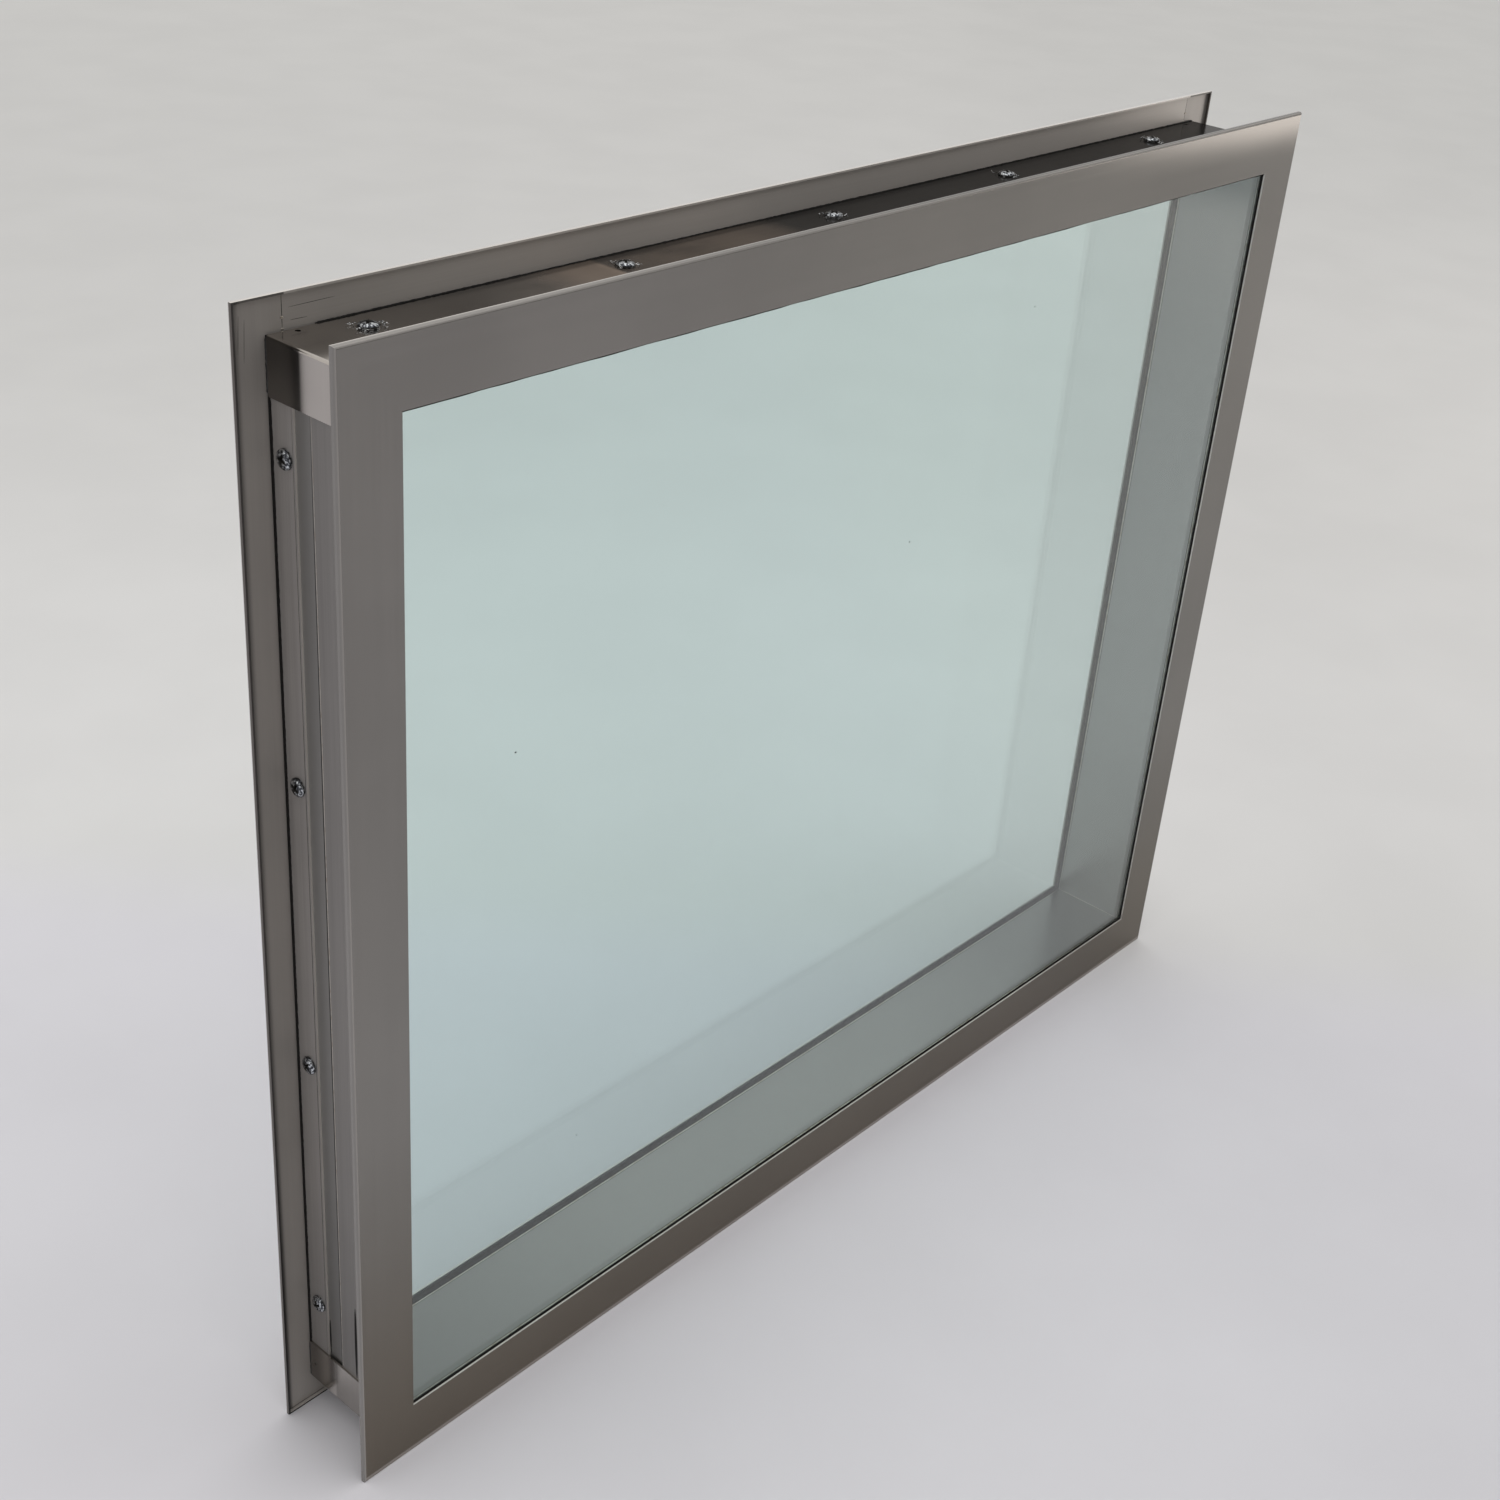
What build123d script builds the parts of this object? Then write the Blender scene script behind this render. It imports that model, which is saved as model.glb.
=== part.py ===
from build123d import *
import os

# Flush-mount double-glazed window of folded stainless sheet, for a 75 mm wall panel.
# Millimetres. X runs along the width, Y from the front face to the back face, Z up.
# The origin is at the middle of the underside, so the front face lies at Y = -DEPTH / 2.

# Overall size
WIDTH = 900.0
HEIGHT = 750.0
DEPTH = 82.0

# Sheet metal
SHEET = 1.2
BEND = 1.8              # outside radius of every fold
TRIM = 40.0             # outer edge of a flange to the glass opening
OVERLAP = 20.0          # how far a flange stands past the floor of the wall channel
LIP = 3.5               # depth of the lip folded towards the wall
COPE = 31.0             # outer edge to the butt joint in the back flange
TAB = 32.0              # height of the end tabs of the head and the sill
FRONT_LEG = 47.5        # front face to the free edge of the front cover strip
BACK_LEG = 20.5         # back face to the free edge of the back cover strip

# Glazing
GLASS = 5.0
GLASS_COVER = 15.5      # how far the flange covers the edge of a pane
GLASS_ARRIS = 0.5
TAPE = 1.4
TAPE_SETBACK = 0.6      # the tape stops this short of both edges it joins
REVEAL = 37.0           # outer edge of the flange to the inner face of the spacer

# Screws and small holes
SCREW_HEAD_R = 5.6
SCREW_HEAD_RIM = 0.8
SCREW_DOME = ((1.2, 38.0), (1.0, 62.0))     # height and slope of each step of the dome
SCREW_SHANK_R = 2.1
SCREW_LENGTH = 13.0
SCREW_TIP = 3.0
SCREW_TIP_TAPER = 25.0
SCREW_SIDES = 12        # flats that stand for the round head
SHANK_SIDES = 8         # and for the round shank
SCREW_HOLE_R = 2.2
CROSS_LENGTH = 5.6
CROSS_WIDTH = 1.5
CROSS_DEPTH = 1.7
CROSS_TAPER = 8.0
RAIL_SCREWS = 5
RAIL_SCREW_PITCH = 181.0
RAIL_SCREW_INSET = 22.0     # back face to the row of screws in the head and sill
RAIL_SCREW_MIDDLE = -20.0   # the row is not centred: it starts nearer to the left end
JAMB_SCREWS = 4
JAMB_SCREW_PITCH = 192.0
JAMB_SCREW_INSET = 13.0     # back face to the row of screws in a jamb
JAMB_SCREW_MIDDLE = 380.0   # height of the middle of the row
PIN_HOLE_R = 1.5
HEAD_PIN_HOLE_X = 16.5      # end of the head to its pin hole
TAB_PIN_HOLE_Z = 15.0       # underside of the sill to the pin hole in its tab
PIN_HOLE_INSET = 6.5        # back face to a pin hole

# Depths and levels that follow from the sizes above
SEAT = SHEET + TAPE                     # face of the flange to the outside of the pane
SPACER_FACE = SEAT + GLASS              # face of the flange to the spacer
COVER = OVERLAP + SHEET                 # outer edge to the outside of a cover strip
CORE = COVER + SHEET                    # outer edge to the outside of a jamb spacer
PANE_EDGE = TRIM - GLASS_COVER          # outer edge to the edge of the glass

INWARD = {
    "head": Vector(0, 0, -1),
    "sill": Vector(0, 0, 1),
    "left": Vector(1, 0, 0),
    "right": Vector(-1, 0, 0),
}
EDGE_MIDDLE = {
    "head": Vector(0, 0, HEIGHT),
    "sill": Vector(0, 0, 0),
    "left": Vector(-WIDTH / 2, 0, HEIGHT / 2),
    "right": Vector(WIDTH / 2, 0, HEIGHT / 2),
}
RUN = {"head": WIDTH, "sill": WIDTH, "left": HEIGHT, "right": HEIGHT}
DEPTHWAYS = {"front": Vector(0, 1, 0), "back": Vector(0, -1, 0)}
JAMBS = ("left", "right")
RAILS = ("head", "sill")
SCREW_ROW = {side: (RAIL_SCREW_PITCH, RAIL_SCREWS) for side in RAILS}
SCREW_ROW |= {side: (JAMB_SCREW_PITCH, JAMB_SCREWS) for side in JAMBS}


def save(builder, name):
    """Label a finished piece and write its STEP file."""
    builder.part.label = name
    export_step(builder.part, f"parts/{name}.step")


def section_plane(side, face, start=0.0):
    """Plane across one side: x points inward from the outer edge, y from the face into the wall."""
    inward, depthways = INWARD[side], DEPTHWAYS[face]
    along = inward.cross(depthways)
    corner = EDGE_MIDDLE[side] - depthways * (DEPTH / 2) - along * (RUN[side] / 2)
    return Plane(origin=corner + along * start, x_dir=inward, z_dir=along)


def mitre_plane(side, face, far_end):
    """Plane at 45 degrees through one end of a side, facing the piece that is kept."""
    plane = section_plane(side, face, RUN[side] if far_end else 0.0)
    along = plane.z_dir * (-1 if far_end else 1)
    return Plane(origin=plane.origin, z_dir=along - plane.x_dir)


def folded_sheet(points, side):
    """Closed outline of a folded sheet, laid on one side of a line through the points."""
    with BuildLine() as outline:
        FilletPolyline(*points, radius=BEND)
        offset(amount=SHEET, side=side)
    return outline.edges()


def front_flange(side):
    """Flange with a folded lip on its outer edge, mitred at both ends and welded."""
    with BuildPart() as flange:
        with BuildSketch(section_plane(side, "front")):
            make_face(folded_sheet([(0, LIP), (0, 0), (TRIM, 0)], Side.LEFT))
        extrude(amount=RUN[side])
        for far_end in (False, True):
            split(bisect_by=mitre_plane(side, "front", far_end), keep=Keep.TOP)
    save(flange, f"front_flange_{side}")


def back_flange_rail(side):
    """Head or sill flange of the back frame, set square between the two jamb flanges."""
    with BuildPart() as flange:
        with BuildSketch(section_plane(side, "back", COPE)):
            make_face(folded_sheet([(0, LIP), (0, 0), (TRIM, 0)], Side.LEFT))
        extrude(amount=RUN[side] - 2 * COPE)
    save(flange, f"back_flange_{side}")


def back_flange_jamb(side):
    """Full-height jamb flange of the back frame, coped round the head and sill flanges."""
    towards = 1 if side == "left" else -1
    edge = -towards * WIDTH / 2
    face = Plane(origin=(edge, DEPTH / 2, 0), x_dir=(towards, 0, 0), z_dir=(0, -1, 0))
    up = face.y_dir.Z
    with BuildPart() as flange:
        with BuildSketch(face):
            with Locations((TRIM / 2, up * HEIGHT / 2)):
                Rectangle(TRIM, HEIGHT)
            for level in (TRIM / 2, HEIGHT - TRIM / 2):
                with Locations(((COPE + TRIM) / 2, up * level)):
                    Rectangle(TRIM - COPE, TRIM, mode=Mode.SUBTRACT)
        extrude(amount=LIP)
        with BuildSketch(face.offset(SHEET)):
            with Locations(((SHEET + TRIM) / 2, up * HEIGHT / 2)):
                Rectangle(TRIM - SHEET, HEIGHT - 2 * SHEET)
        extrude(amount=LIP, mode=Mode.SUBTRACT)
        rim = flange.edges().filter_by(lambda e: abs(e.center().Y - DEPTH / 2) < 0.01)
        outer = rim.filter_by(lambda e: abs(e.center().X - edge) < 0.01)
        ends = rim.filter_by(lambda e: abs(e.center().Z - HEIGHT / 2) > HEIGHT / 2 - 0.01)
        fillet(outer + ends, radius=BEND)
    save(flange, f"back_flange_{side}")


def screw_row_plane(side, level):
    """Plane at the middle of a row of screws, facing out of the sheet at this level."""
    inward = INWARD[side]
    middle = EDGE_MIDDLE[side] + inward * level
    if side in RAILS:
        seat = Vector(RAIL_SCREW_MIDDLE, DEPTH / 2 - RAIL_SCREW_INSET, middle.Z)
        return Plane(origin=seat, x_dir=(1, 0, 0), z_dir=-inward)
    seat = Vector(middle.X, DEPTH / 2 - JAMB_SCREW_INSET, JAMB_SCREW_MIDDLE)
    return Plane(origin=seat, x_dir=(0, 0, 1), z_dir=-inward)


def drill_screw_holes(side, level):
    """Clearance holes for one row of screws, through the sheet at this level."""
    pitch, count = SCREW_ROW[side]
    with Locations(screw_row_plane(side, level)):
        with GridLocations(pitch, 1, count, 1):
            Hole(radius=SCREW_HOLE_R, depth=2 * SHEET)


def rail_web(side):
    """Floor of the wall channel along the head or sill, with a tab folded over each jamb."""
    towards = INWARD[side].Z
    level = EDGE_MIDDLE[side].Z + towards * OVERLAP
    end = WIDTH / 2 - OVERLAP
    front_edge = Plane(origin=(0, -DEPTH / 2 + SEAT, level), x_dir=(1, 0, 0), z_dir=(0, 1, 0))
    tip = front_edge.y_dir.Z * towards * TAB
    pin_y = DEPTH / 2 - PIN_HOLE_INSET
    with BuildPart() as web:
        with BuildSketch(front_edge):
            corners = [(-end, tip), (-end, 0), (end, 0), (end, tip)]
            make_face(folded_sheet(corners, Side.LEFT if tip > 0 else Side.RIGHT))
        extrude(amount=DEPTH - 2 * SEAT)
        drill_screw_holes(side, OVERLAP)
        for sign in (-1, 1):
            if side == "head":
                pin = Plane(origin=(sign * (end - HEAD_PIN_HOLE_X), pin_y, level), z_dir=(0, 0, 1))
            else:
                pin = Plane(origin=(sign * end, pin_y, level + TAB_PIN_HOLE_Z), z_dir=(sign, 0, 0))
            with Locations(pin):
                Hole(radius=PIN_HOLE_R, depth=2 * SHEET)
    save(web, f"{side}_web")


def cover_strip(side, face):
    """Flat strip that laps over the outside of a jamb from the front or the back."""
    start = OVERLAP + BEND
    reach = FRONT_LEG if face == "front" else BACK_LEG
    with BuildPart() as strip:
        with BuildSketch(section_plane(side, face, start)):
            with Locations(((COVER + CORE) / 2, (SEAT + reach) / 2)):
                Rectangle(SHEET, reach - SEAT)
        extrude(amount=HEIGHT - 2 * start)
        if face == "back":
            drill_screw_holes(side, COVER)
    save(strip, f"{side}_{face}_strip")


def spacer(side):
    """Box section between the panes, whose inner face is the reveal seen through the glass."""
    outside = CORE if side in JAMBS else COVER
    start = CORE if side in RAILS else 0.0
    deep = DEPTH - 2 * SPACER_FACE
    across = REVEAL - outside
    with BuildPart() as box:
        with BuildSketch(section_plane(side, "front", start)):
            with Locations(((outside + REVEAL) / 2, DEPTH / 2)):
                RectangleRounded(across, deep, BEND)
                RectangleRounded(across - 2 * SHEET, deep - 2 * SHEET, BEND - SHEET, mode=Mode.SUBTRACT)
        extrude(amount=RUN[side] - 2 * start)
        for far_end in (False, True):
            split(bisect_by=mitre_plane(side, "front", far_end), keep=Keep.TOP)
        drill_screw_holes(side, outside)
    save(box, f"spacer_{side}")


def glazing_tape(side, face):
    """Black foam tape between a flange and the pane and channel behind it."""
    outside, inside = OVERLAP + TAPE_SETBACK, TRIM - TAPE_SETBACK
    with BuildPart() as tape:
        with BuildSketch(section_plane(side, face)):
            with Locations(((outside + inside) / 2, SHEET + TAPE / 2)):
                Rectangle(inside - outside, TAPE)
        extrude(amount=RUN[side])
        for far_end in (False, True):
            split(bisect_by=mitre_plane(side, face, far_end), keep=Keep.TOP)
    save(tape, f"{face}_tape_{side}")


def pane(face):
    """Toughened glass with its sharp edges ground off."""
    outer = -DEPTH / 2 + SEAT if face == "front" else DEPTH / 2 - SEAT - GLASS
    with BuildPart() as glass:
        with BuildSketch(Plane(origin=(0, outer, HEIGHT / 2), x_dir=(1, 0, 0), z_dir=(0, 1, 0))):
            Rectangle(WIDTH - 2 * PANE_EDGE, HEIGHT - 2 * PANE_EDGE)
        extrude(amount=GLASS)
        arrises = glass.faces().sort_by(Axis.Y)[0].edges() + glass.faces().sort_by(Axis.Y)[-1].edges()
        chamfer(arrises, length=GLASS_ARRIS)
    save(glass, f"{face}_pane")


def make_screw():
    """Pan-head screw with a cross recess and a drill point, its seat at the origin, head upward."""
    with BuildPart() as screw:
        with BuildSketch():
            RegularPolygon(SCREW_HEAD_R, SCREW_SIDES)
        extrude(amount=SCREW_HEAD_RIM)
        for height, slope in SCREW_DOME:
            extrude(screw.faces().sort_by(Axis.Z)[-1], amount=height, taper=slope)
        with BuildSketch(Plane(screw.faces().sort_by(Axis.Z)[-1])):
            Rectangle(CROSS_LENGTH, CROSS_WIDTH)
            Rectangle(CROSS_WIDTH, CROSS_LENGTH)
        extrude(amount=-CROSS_DEPTH, taper=CROSS_TAPER, mode=Mode.SUBTRACT)
        with BuildSketch():
            RegularPolygon(SCREW_SHANK_R, SHANK_SIDES)
        extrude(amount=-(SCREW_LENGTH - SCREW_TIP))
        extrude(screw.faces().sort_by(Axis.Z)[0], amount=SCREW_TIP, taper=SCREW_TIP_TAPER)
    return screw.part


def screw_row(side, screw):
    """All the screws of one side, as separate solids in one node."""
    pitch, count = SCREW_ROW[side]
    with BuildPart() as screws:
        with Locations(screw_row_plane(side, OVERLAP if side in RAILS else COVER)):
            with GridLocations(pitch, 1, count, 1):
                add(screw)
    save(screws, f"{side}_screws")


os.makedirs("parts", exist_ok=True)
pan_head = make_screw()
for side in RAILS + JAMBS:
    front_flange(side)
    spacer(side)
    screw_row(side, pan_head)
    for face in DEPTHWAYS:
        glazing_tape(side, face)
for side in RAILS:
    back_flange_rail(side)
    rail_web(side)
for side in JAMBS:
    back_flange_jamb(side)
    for face in DEPTHWAYS:
        cover_strip(side, face)
for face in DEPTHWAYS:
    pane(face)
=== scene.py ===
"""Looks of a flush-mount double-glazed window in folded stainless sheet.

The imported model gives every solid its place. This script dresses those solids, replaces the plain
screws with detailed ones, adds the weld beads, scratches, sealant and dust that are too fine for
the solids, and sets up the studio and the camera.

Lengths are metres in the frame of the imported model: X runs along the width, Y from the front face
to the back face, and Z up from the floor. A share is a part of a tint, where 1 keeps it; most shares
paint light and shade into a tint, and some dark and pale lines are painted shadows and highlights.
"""
import sys
import logging
import math
import random
from dataclasses import dataclass, replace
from enum import Enum
from functools import cache, cached_property, reduce
from typing import Protocol

import bmesh
import bpy
from mathutils import Matrix, Vector, noise


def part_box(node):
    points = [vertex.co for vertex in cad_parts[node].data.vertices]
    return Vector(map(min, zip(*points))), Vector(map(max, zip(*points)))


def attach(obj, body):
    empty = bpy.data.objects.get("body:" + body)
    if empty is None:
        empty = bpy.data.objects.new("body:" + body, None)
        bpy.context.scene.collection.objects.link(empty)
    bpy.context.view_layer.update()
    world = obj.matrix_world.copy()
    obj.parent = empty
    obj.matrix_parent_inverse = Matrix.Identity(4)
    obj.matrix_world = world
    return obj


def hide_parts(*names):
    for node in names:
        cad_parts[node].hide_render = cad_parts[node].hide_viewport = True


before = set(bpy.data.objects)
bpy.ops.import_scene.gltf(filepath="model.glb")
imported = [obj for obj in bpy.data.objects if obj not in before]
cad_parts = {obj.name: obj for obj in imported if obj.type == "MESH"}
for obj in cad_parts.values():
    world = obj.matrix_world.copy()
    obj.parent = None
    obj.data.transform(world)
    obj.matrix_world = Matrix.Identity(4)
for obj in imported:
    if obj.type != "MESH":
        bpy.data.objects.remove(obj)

BMesh = bmesh.types.BMesh
Socket = bpy.types.NodeSocket
Pair = tuple[float, float]
Colour = tuple[float, float, float]
Value = Socket | float | Colour
log = logging.getLogger("window")

BODY = "root"
MM = 0.001
SHEET = 1.2 * MM
HALF_WIDTH = 0.450
LIP_TOP = 0.7480             # above this lies the bend of an upper lip
LIP_SIDE = 0.4480            # beyond this lies the bend of a jamb's lip
STRIP_STEP = 13.2 * MM       # depth where the back cover strips begin
FIRST_SCREW = -0.382         # of the head's row, from the left
RAIL_PITCH, RAIL_SCREWS = 0.181, 5
JAMB_PITCH, JAMB_SCREWS = 0.192, 4

# Where the tones of the trim change, most of them painted light and shade, each as the start and the end of
# the change
BEND = (-0.0400, -0.0397)              # depth, from the front bend of a lip to its flat
ARRIS = (-0.0383, -0.0379)             # depth, from the arris of the upper fold to its flat
CUT_EDGE = (0.0382, 0.0386)            # depth, from the cut edge of a back lip to the inside
REAR_BEND = (0.0390, 0.0394)           # depth, where the rear bend of a back lip starts
CREASE = (0.4440, 0.4475)              # from the middle to a jamb's lip
GLAZED_FOOT = (0.0362, 0.0368)         # height, up to the strip beside the pane
GLAZED_HEAD = (0.7132, 0.7138)         # height, above that strip
GLAZED_SIDE = (0.4132, 0.4138)         # from the middle, beside that strip
FOOT_SHADE = (0.0012, 0.0017)          # height, from the dark foot of the room side
FOOT_HIGHLIGHT = (0.0016, 0.0021)           # height, up to the painted highlight line over that foot
FOOT_HIGHLIGHT_END = (0.0038, 0.0044)       # height, above that line
INNER_FOOT_SHADE = (0.0012, 0.0024)          # height, from the painted shade at the foot of the wall side
TAB_EDGE = (0.698, 0.728)              # height, from the lower edge of a head tab

NOISE_SEED = 7                         # of the dents in screws and tacks, where 0 would mean the clock


class Side(Enum):
    """One side of the window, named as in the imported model."""

    HEAD = "head"
    SILL = "sill"
    LEFT = "left"
    RIGHT = "right"

    @property
    def is_rail(self) -> bool:
        """True for the two sides that run along the width."""
        return self in (Side.HEAD, Side.SILL)

    @property
    def outward(self) -> Vector:
        """Unit vector from the middle of the window to this side."""
        ways = {Side.HEAD: (0, 0, 1), Side.SILL: (0, 0, -1), Side.LEFT: (-1, 0, 0), Side.RIGHT: (1, 0, 0)}
        return Vector(ways[self])

    @property
    def along(self) -> Vector:
        """Unit vector along the length of this side."""
        return Vector((1, 0, 0)) if self.is_rail else Vector((0, 0, 1))


class Face(Enum):
    """One face of the wall."""

    FRONT = "front"
    BACK = "back"


class Grain(Enum):
    """The axis that the hairlines of a sheet follow."""

    ACROSS_WIDTH = 0
    UPRIGHT = 2


class Graph:
    """Short names for adding and joining the nodes of one node tree."""

    def __init__(self, tree: bpy.types.NodeTree) -> None:
        """Keep the tree and empty it."""
        self.tree = tree
        tree.nodes.clear()

    def feed(self, socket: Socket, value: Value) -> None:
        """Join a socket to an input, or set the input to a plain value.

        Args:
            socket: The input.
            value: Another node's output, a number, or a tuple of numbers.
        """
        if isinstance(value, Socket):
            self.tree.links.new(value, socket)
        elif isinstance(value, tuple) and socket.type == "RGBA":
            socket.default_value = (*value, 1.0)
        else:
            socket.default_value = value

    def add(
        self, kind: str, inputs: dict[str | int, Value] | None = None, **settings: object
    ) -> bpy.types.Node:
        """Add a node, set its properties and fill its inputs.

        Args:
            kind: The node's type name.
            inputs: Names or numbers of inputs, and their values.
            settings: Properties of the node and their values.

        Returns:
            The new node.
        """
        node = self.tree.nodes.new(kind)
        for name, value in settings.items():
            setattr(node, name, value)
        for key, value in (inputs or {}).items():
            self.feed(node.inputs[key], value)
        return node

    def split(self, vector: Socket) -> list[Socket]:
        """Split a vector into its three coordinates."""
        return list(self.add("ShaderNodeSeparateXYZ", {0: vector}).outputs)

    @cached_property
    def place(self) -> Socket:
        """The position in the window's own frame."""
        return self.add("ShaderNodeTexCoord").outputs["Object"]

    @cached_property
    def at(self) -> list[Socket]:
        """The three coordinates of the position."""
        return self.split(self.place)

    @cached_property
    def facing(self) -> list[Socket]:
        """How far the surface faces along the three axes."""
        return self.split(self.add("ShaderNodeTexCoord").outputs["Normal"])

    @cached_property
    def upper(self) -> Socket:
        """1 where the surface faces up."""
        return self.rise(self.facing[2], 0.5, 0.8)

    def faces(self, axis: int) -> Socket:
        """1 where the surface faces along an axis, either way."""
        return self.beyond(self.facing[axis], 0.65, 0.15)

    def scaled(self, place: Socket, scale: Colour) -> Socket:
        """Stretch a position by so many cycles per metre along X, Y and Z."""
        return self.add("ShaderNodeMapping", {"Vector": place, "Scale": scale}).outputs["Vector"]

    def noise(self, place: Socket, scale: float, detail: float = 2.0) -> Socket:
        """Soft noise from 0 to 1, with so many cycles per metre and octaves of detail."""
        inputs = {"Vector": place, "Scale": scale, "Detail": detail}
        return self.add("ShaderNodeTexNoise", inputs).outputs["Fac"]

    def span(self, value: Socket, low: float, high: float, to_low: float, to_high: float) -> Socket:
        """Map a range of values smoothly to another, held at its ends."""
        ends = {"Value": value, "From Min": low, "From Max": high, "To Min": to_low, "To Max": to_high}
        return self.add("ShaderNodeMapRange", ends, interpolation_type="SMOOTHSTEP").outputs["Result"]

    def rise(self, value: Socket, low: float, high: float) -> Socket:
        """0 up to low, a smooth rise, and 1 from high."""
        return self.span(value, low, high, 0.0, 1.0)

    def fall(self, value: Socket, low: float, high: float) -> Socket:
        """1 up to low, a smooth fall, and 0 from high."""
        return self.span(value, low, high, 1.0, 0.0)

    def math(self, operation: str, first: Value, second: Value = 0.0) -> Socket:
        """Combine two numbers by a named operation."""
        return self.add("ShaderNodeMath", {0: first, 1: second}, operation=operation).outputs[0]

    def times(self, *factors: Value) -> Socket:
        """Multiply numbers."""
        return reduce(lambda product, factor: self.math("MULTIPLY", product, factor), factors)

    def blend(self, factor: Value, first: Value, second: Value, how: str = "MIX") -> Socket:
        """Mix two colours, where the factor is the share of the second."""
        inputs = {0: factor, 6: first, 7: second}
        return self.add("ShaderNodeMix", inputs, data_type="RGBA", blend_type=how).outputs[2]

    def slide(self, factor: Value, first: Value, second: Value) -> Socket:
        """Mix two numbers, where the factor is the share of the second."""
        return self.add("ShaderNodeMix", {0: factor, 2: first, 3: second}, data_type="FLOAT").outputs[0]

    def beyond(self, value: Socket, limit: float, soft: float) -> Socket:
        """1 where a number is further from zero than a limit, with a change of twice soft."""
        return self.rise(self.math("ABSOLUTE", value), limit - soft, limit + soft)

    def grey(self, value: Socket) -> Socket:
        """Turn a number into a grey of that lightness."""
        return self.add("ShaderNodeCombineColor", {0: value, 1: value, 2: value}).outputs[0]

    def shaded(self, colour: Value, share: Socket) -> Socket:
        """Darken a colour to a share of itself."""
        return self.blend(1.0, colour, self.grey(share), "MULTIPLY")

    def relief(self, height: Socket, depth: float, strength: float = 1.0) -> Socket:
        """Turn a height from 0 to 1, which is depth metres, into a bumped normal."""
        inputs = {"Strength": strength, "Distance": depth, "Height": height}
        return self.add("ShaderNodeBump", inputs).outputs[0]

    def principled(self, **inputs: Value) -> Socket:
        """Add the surface shader, its input names written with underscores for spaces."""
        named = {name.replace("_", " "): value for name, value in inputs.items()}
        return self.add("ShaderNodeBsdfPrincipled", named).outputs[0]

    def mixed(self, factor: Socket, first: Socket, second: Socket) -> Socket:
        """Mix two shaders."""
        return self.add("ShaderNodeMixShader", {0: factor, 1: first, 2: second}).outputs[0]

    def ray(self, kind: str) -> Socket:
        """1 for rays of one kind, such as Is Camera Ray."""
        return self.add("ShaderNodeLightPath").outputs[kind]

    def surface(self, shader: Socket) -> None:
        """Send a shader to the material's output."""
        self.add("ShaderNodeOutputMaterial", {"Surface": shader})


class Finish(Protocol):
    """Anything that can build a material."""

    name: str

    def paint(self, graph: Graph) -> None:
        """Fill the node tree of the material."""


@cache
def material_of(finish: Finish) -> bpy.types.Material:
    """Build the material of a finish once.

    Args:
        finish: The finish.

    Returns:
        Its material.
    """
    material = bpy.data.materials.new(finish.name)
    material.use_nodes = True
    finish.paint(Graph(material.node_tree))
    return material


def part_of(tint: Colour, share: float) -> Colour:
    """A share of a tint, darker under 1 and paler over it."""
    return tuple(share * channel for channel in tint)


@dataclass(frozen=True)
class Hairline:
    """Fine lines that the rolls or the belt left in a sheet, and soft marks of handling."""

    grain: Grain
    streak: float = 0.03
    cloud: float = 0.05
    length: float = 90 * MM
    width: float = 0.6 * MM
    layers: Pair = (1.0, 7.0)        # how many times coarser each layer of lines is
    blotches: float = 7.0            # handling marks in a metre

    def lines(self, graph: Graph) -> Socket:
        """Draw noise out along the grain.

        Args:
            graph: The material's nodes.

        Returns:
            The noise.
        """
        noises = []
        for coarse in self.layers:
            scale = [1 / (self.width * coarse)] * 3
            scale[self.grain.value] = 1 / (self.length * coarse)
            noises.append(graph.noise(graph.scaled(graph.place, tuple(scale)), 1.0))
        return graph.blend(0.5, *noises)

    def toned(self, graph: Graph, colour: Value, lines: Socket) -> Socket:
        """Vary a colour along the lines and over the handling marks.

        Args:
            graph: The material's nodes.
            colour: The colour to vary.
            lines: The grain's noise.

        Returns:
            The varied colour.
        """
        light = graph.span(lines, 0.3, 0.7, 1.0 - self.streak, 1.0 + self.streak)
        marks = graph.noise(graph.place, self.blotches, 3.0)
        cloudy = graph.span(marks, 0.3, 0.7, 1.0 - self.cloud, 1.0 + self.cloud)
        return graph.shaded(colour, graph.times(light, cloudy))


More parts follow.
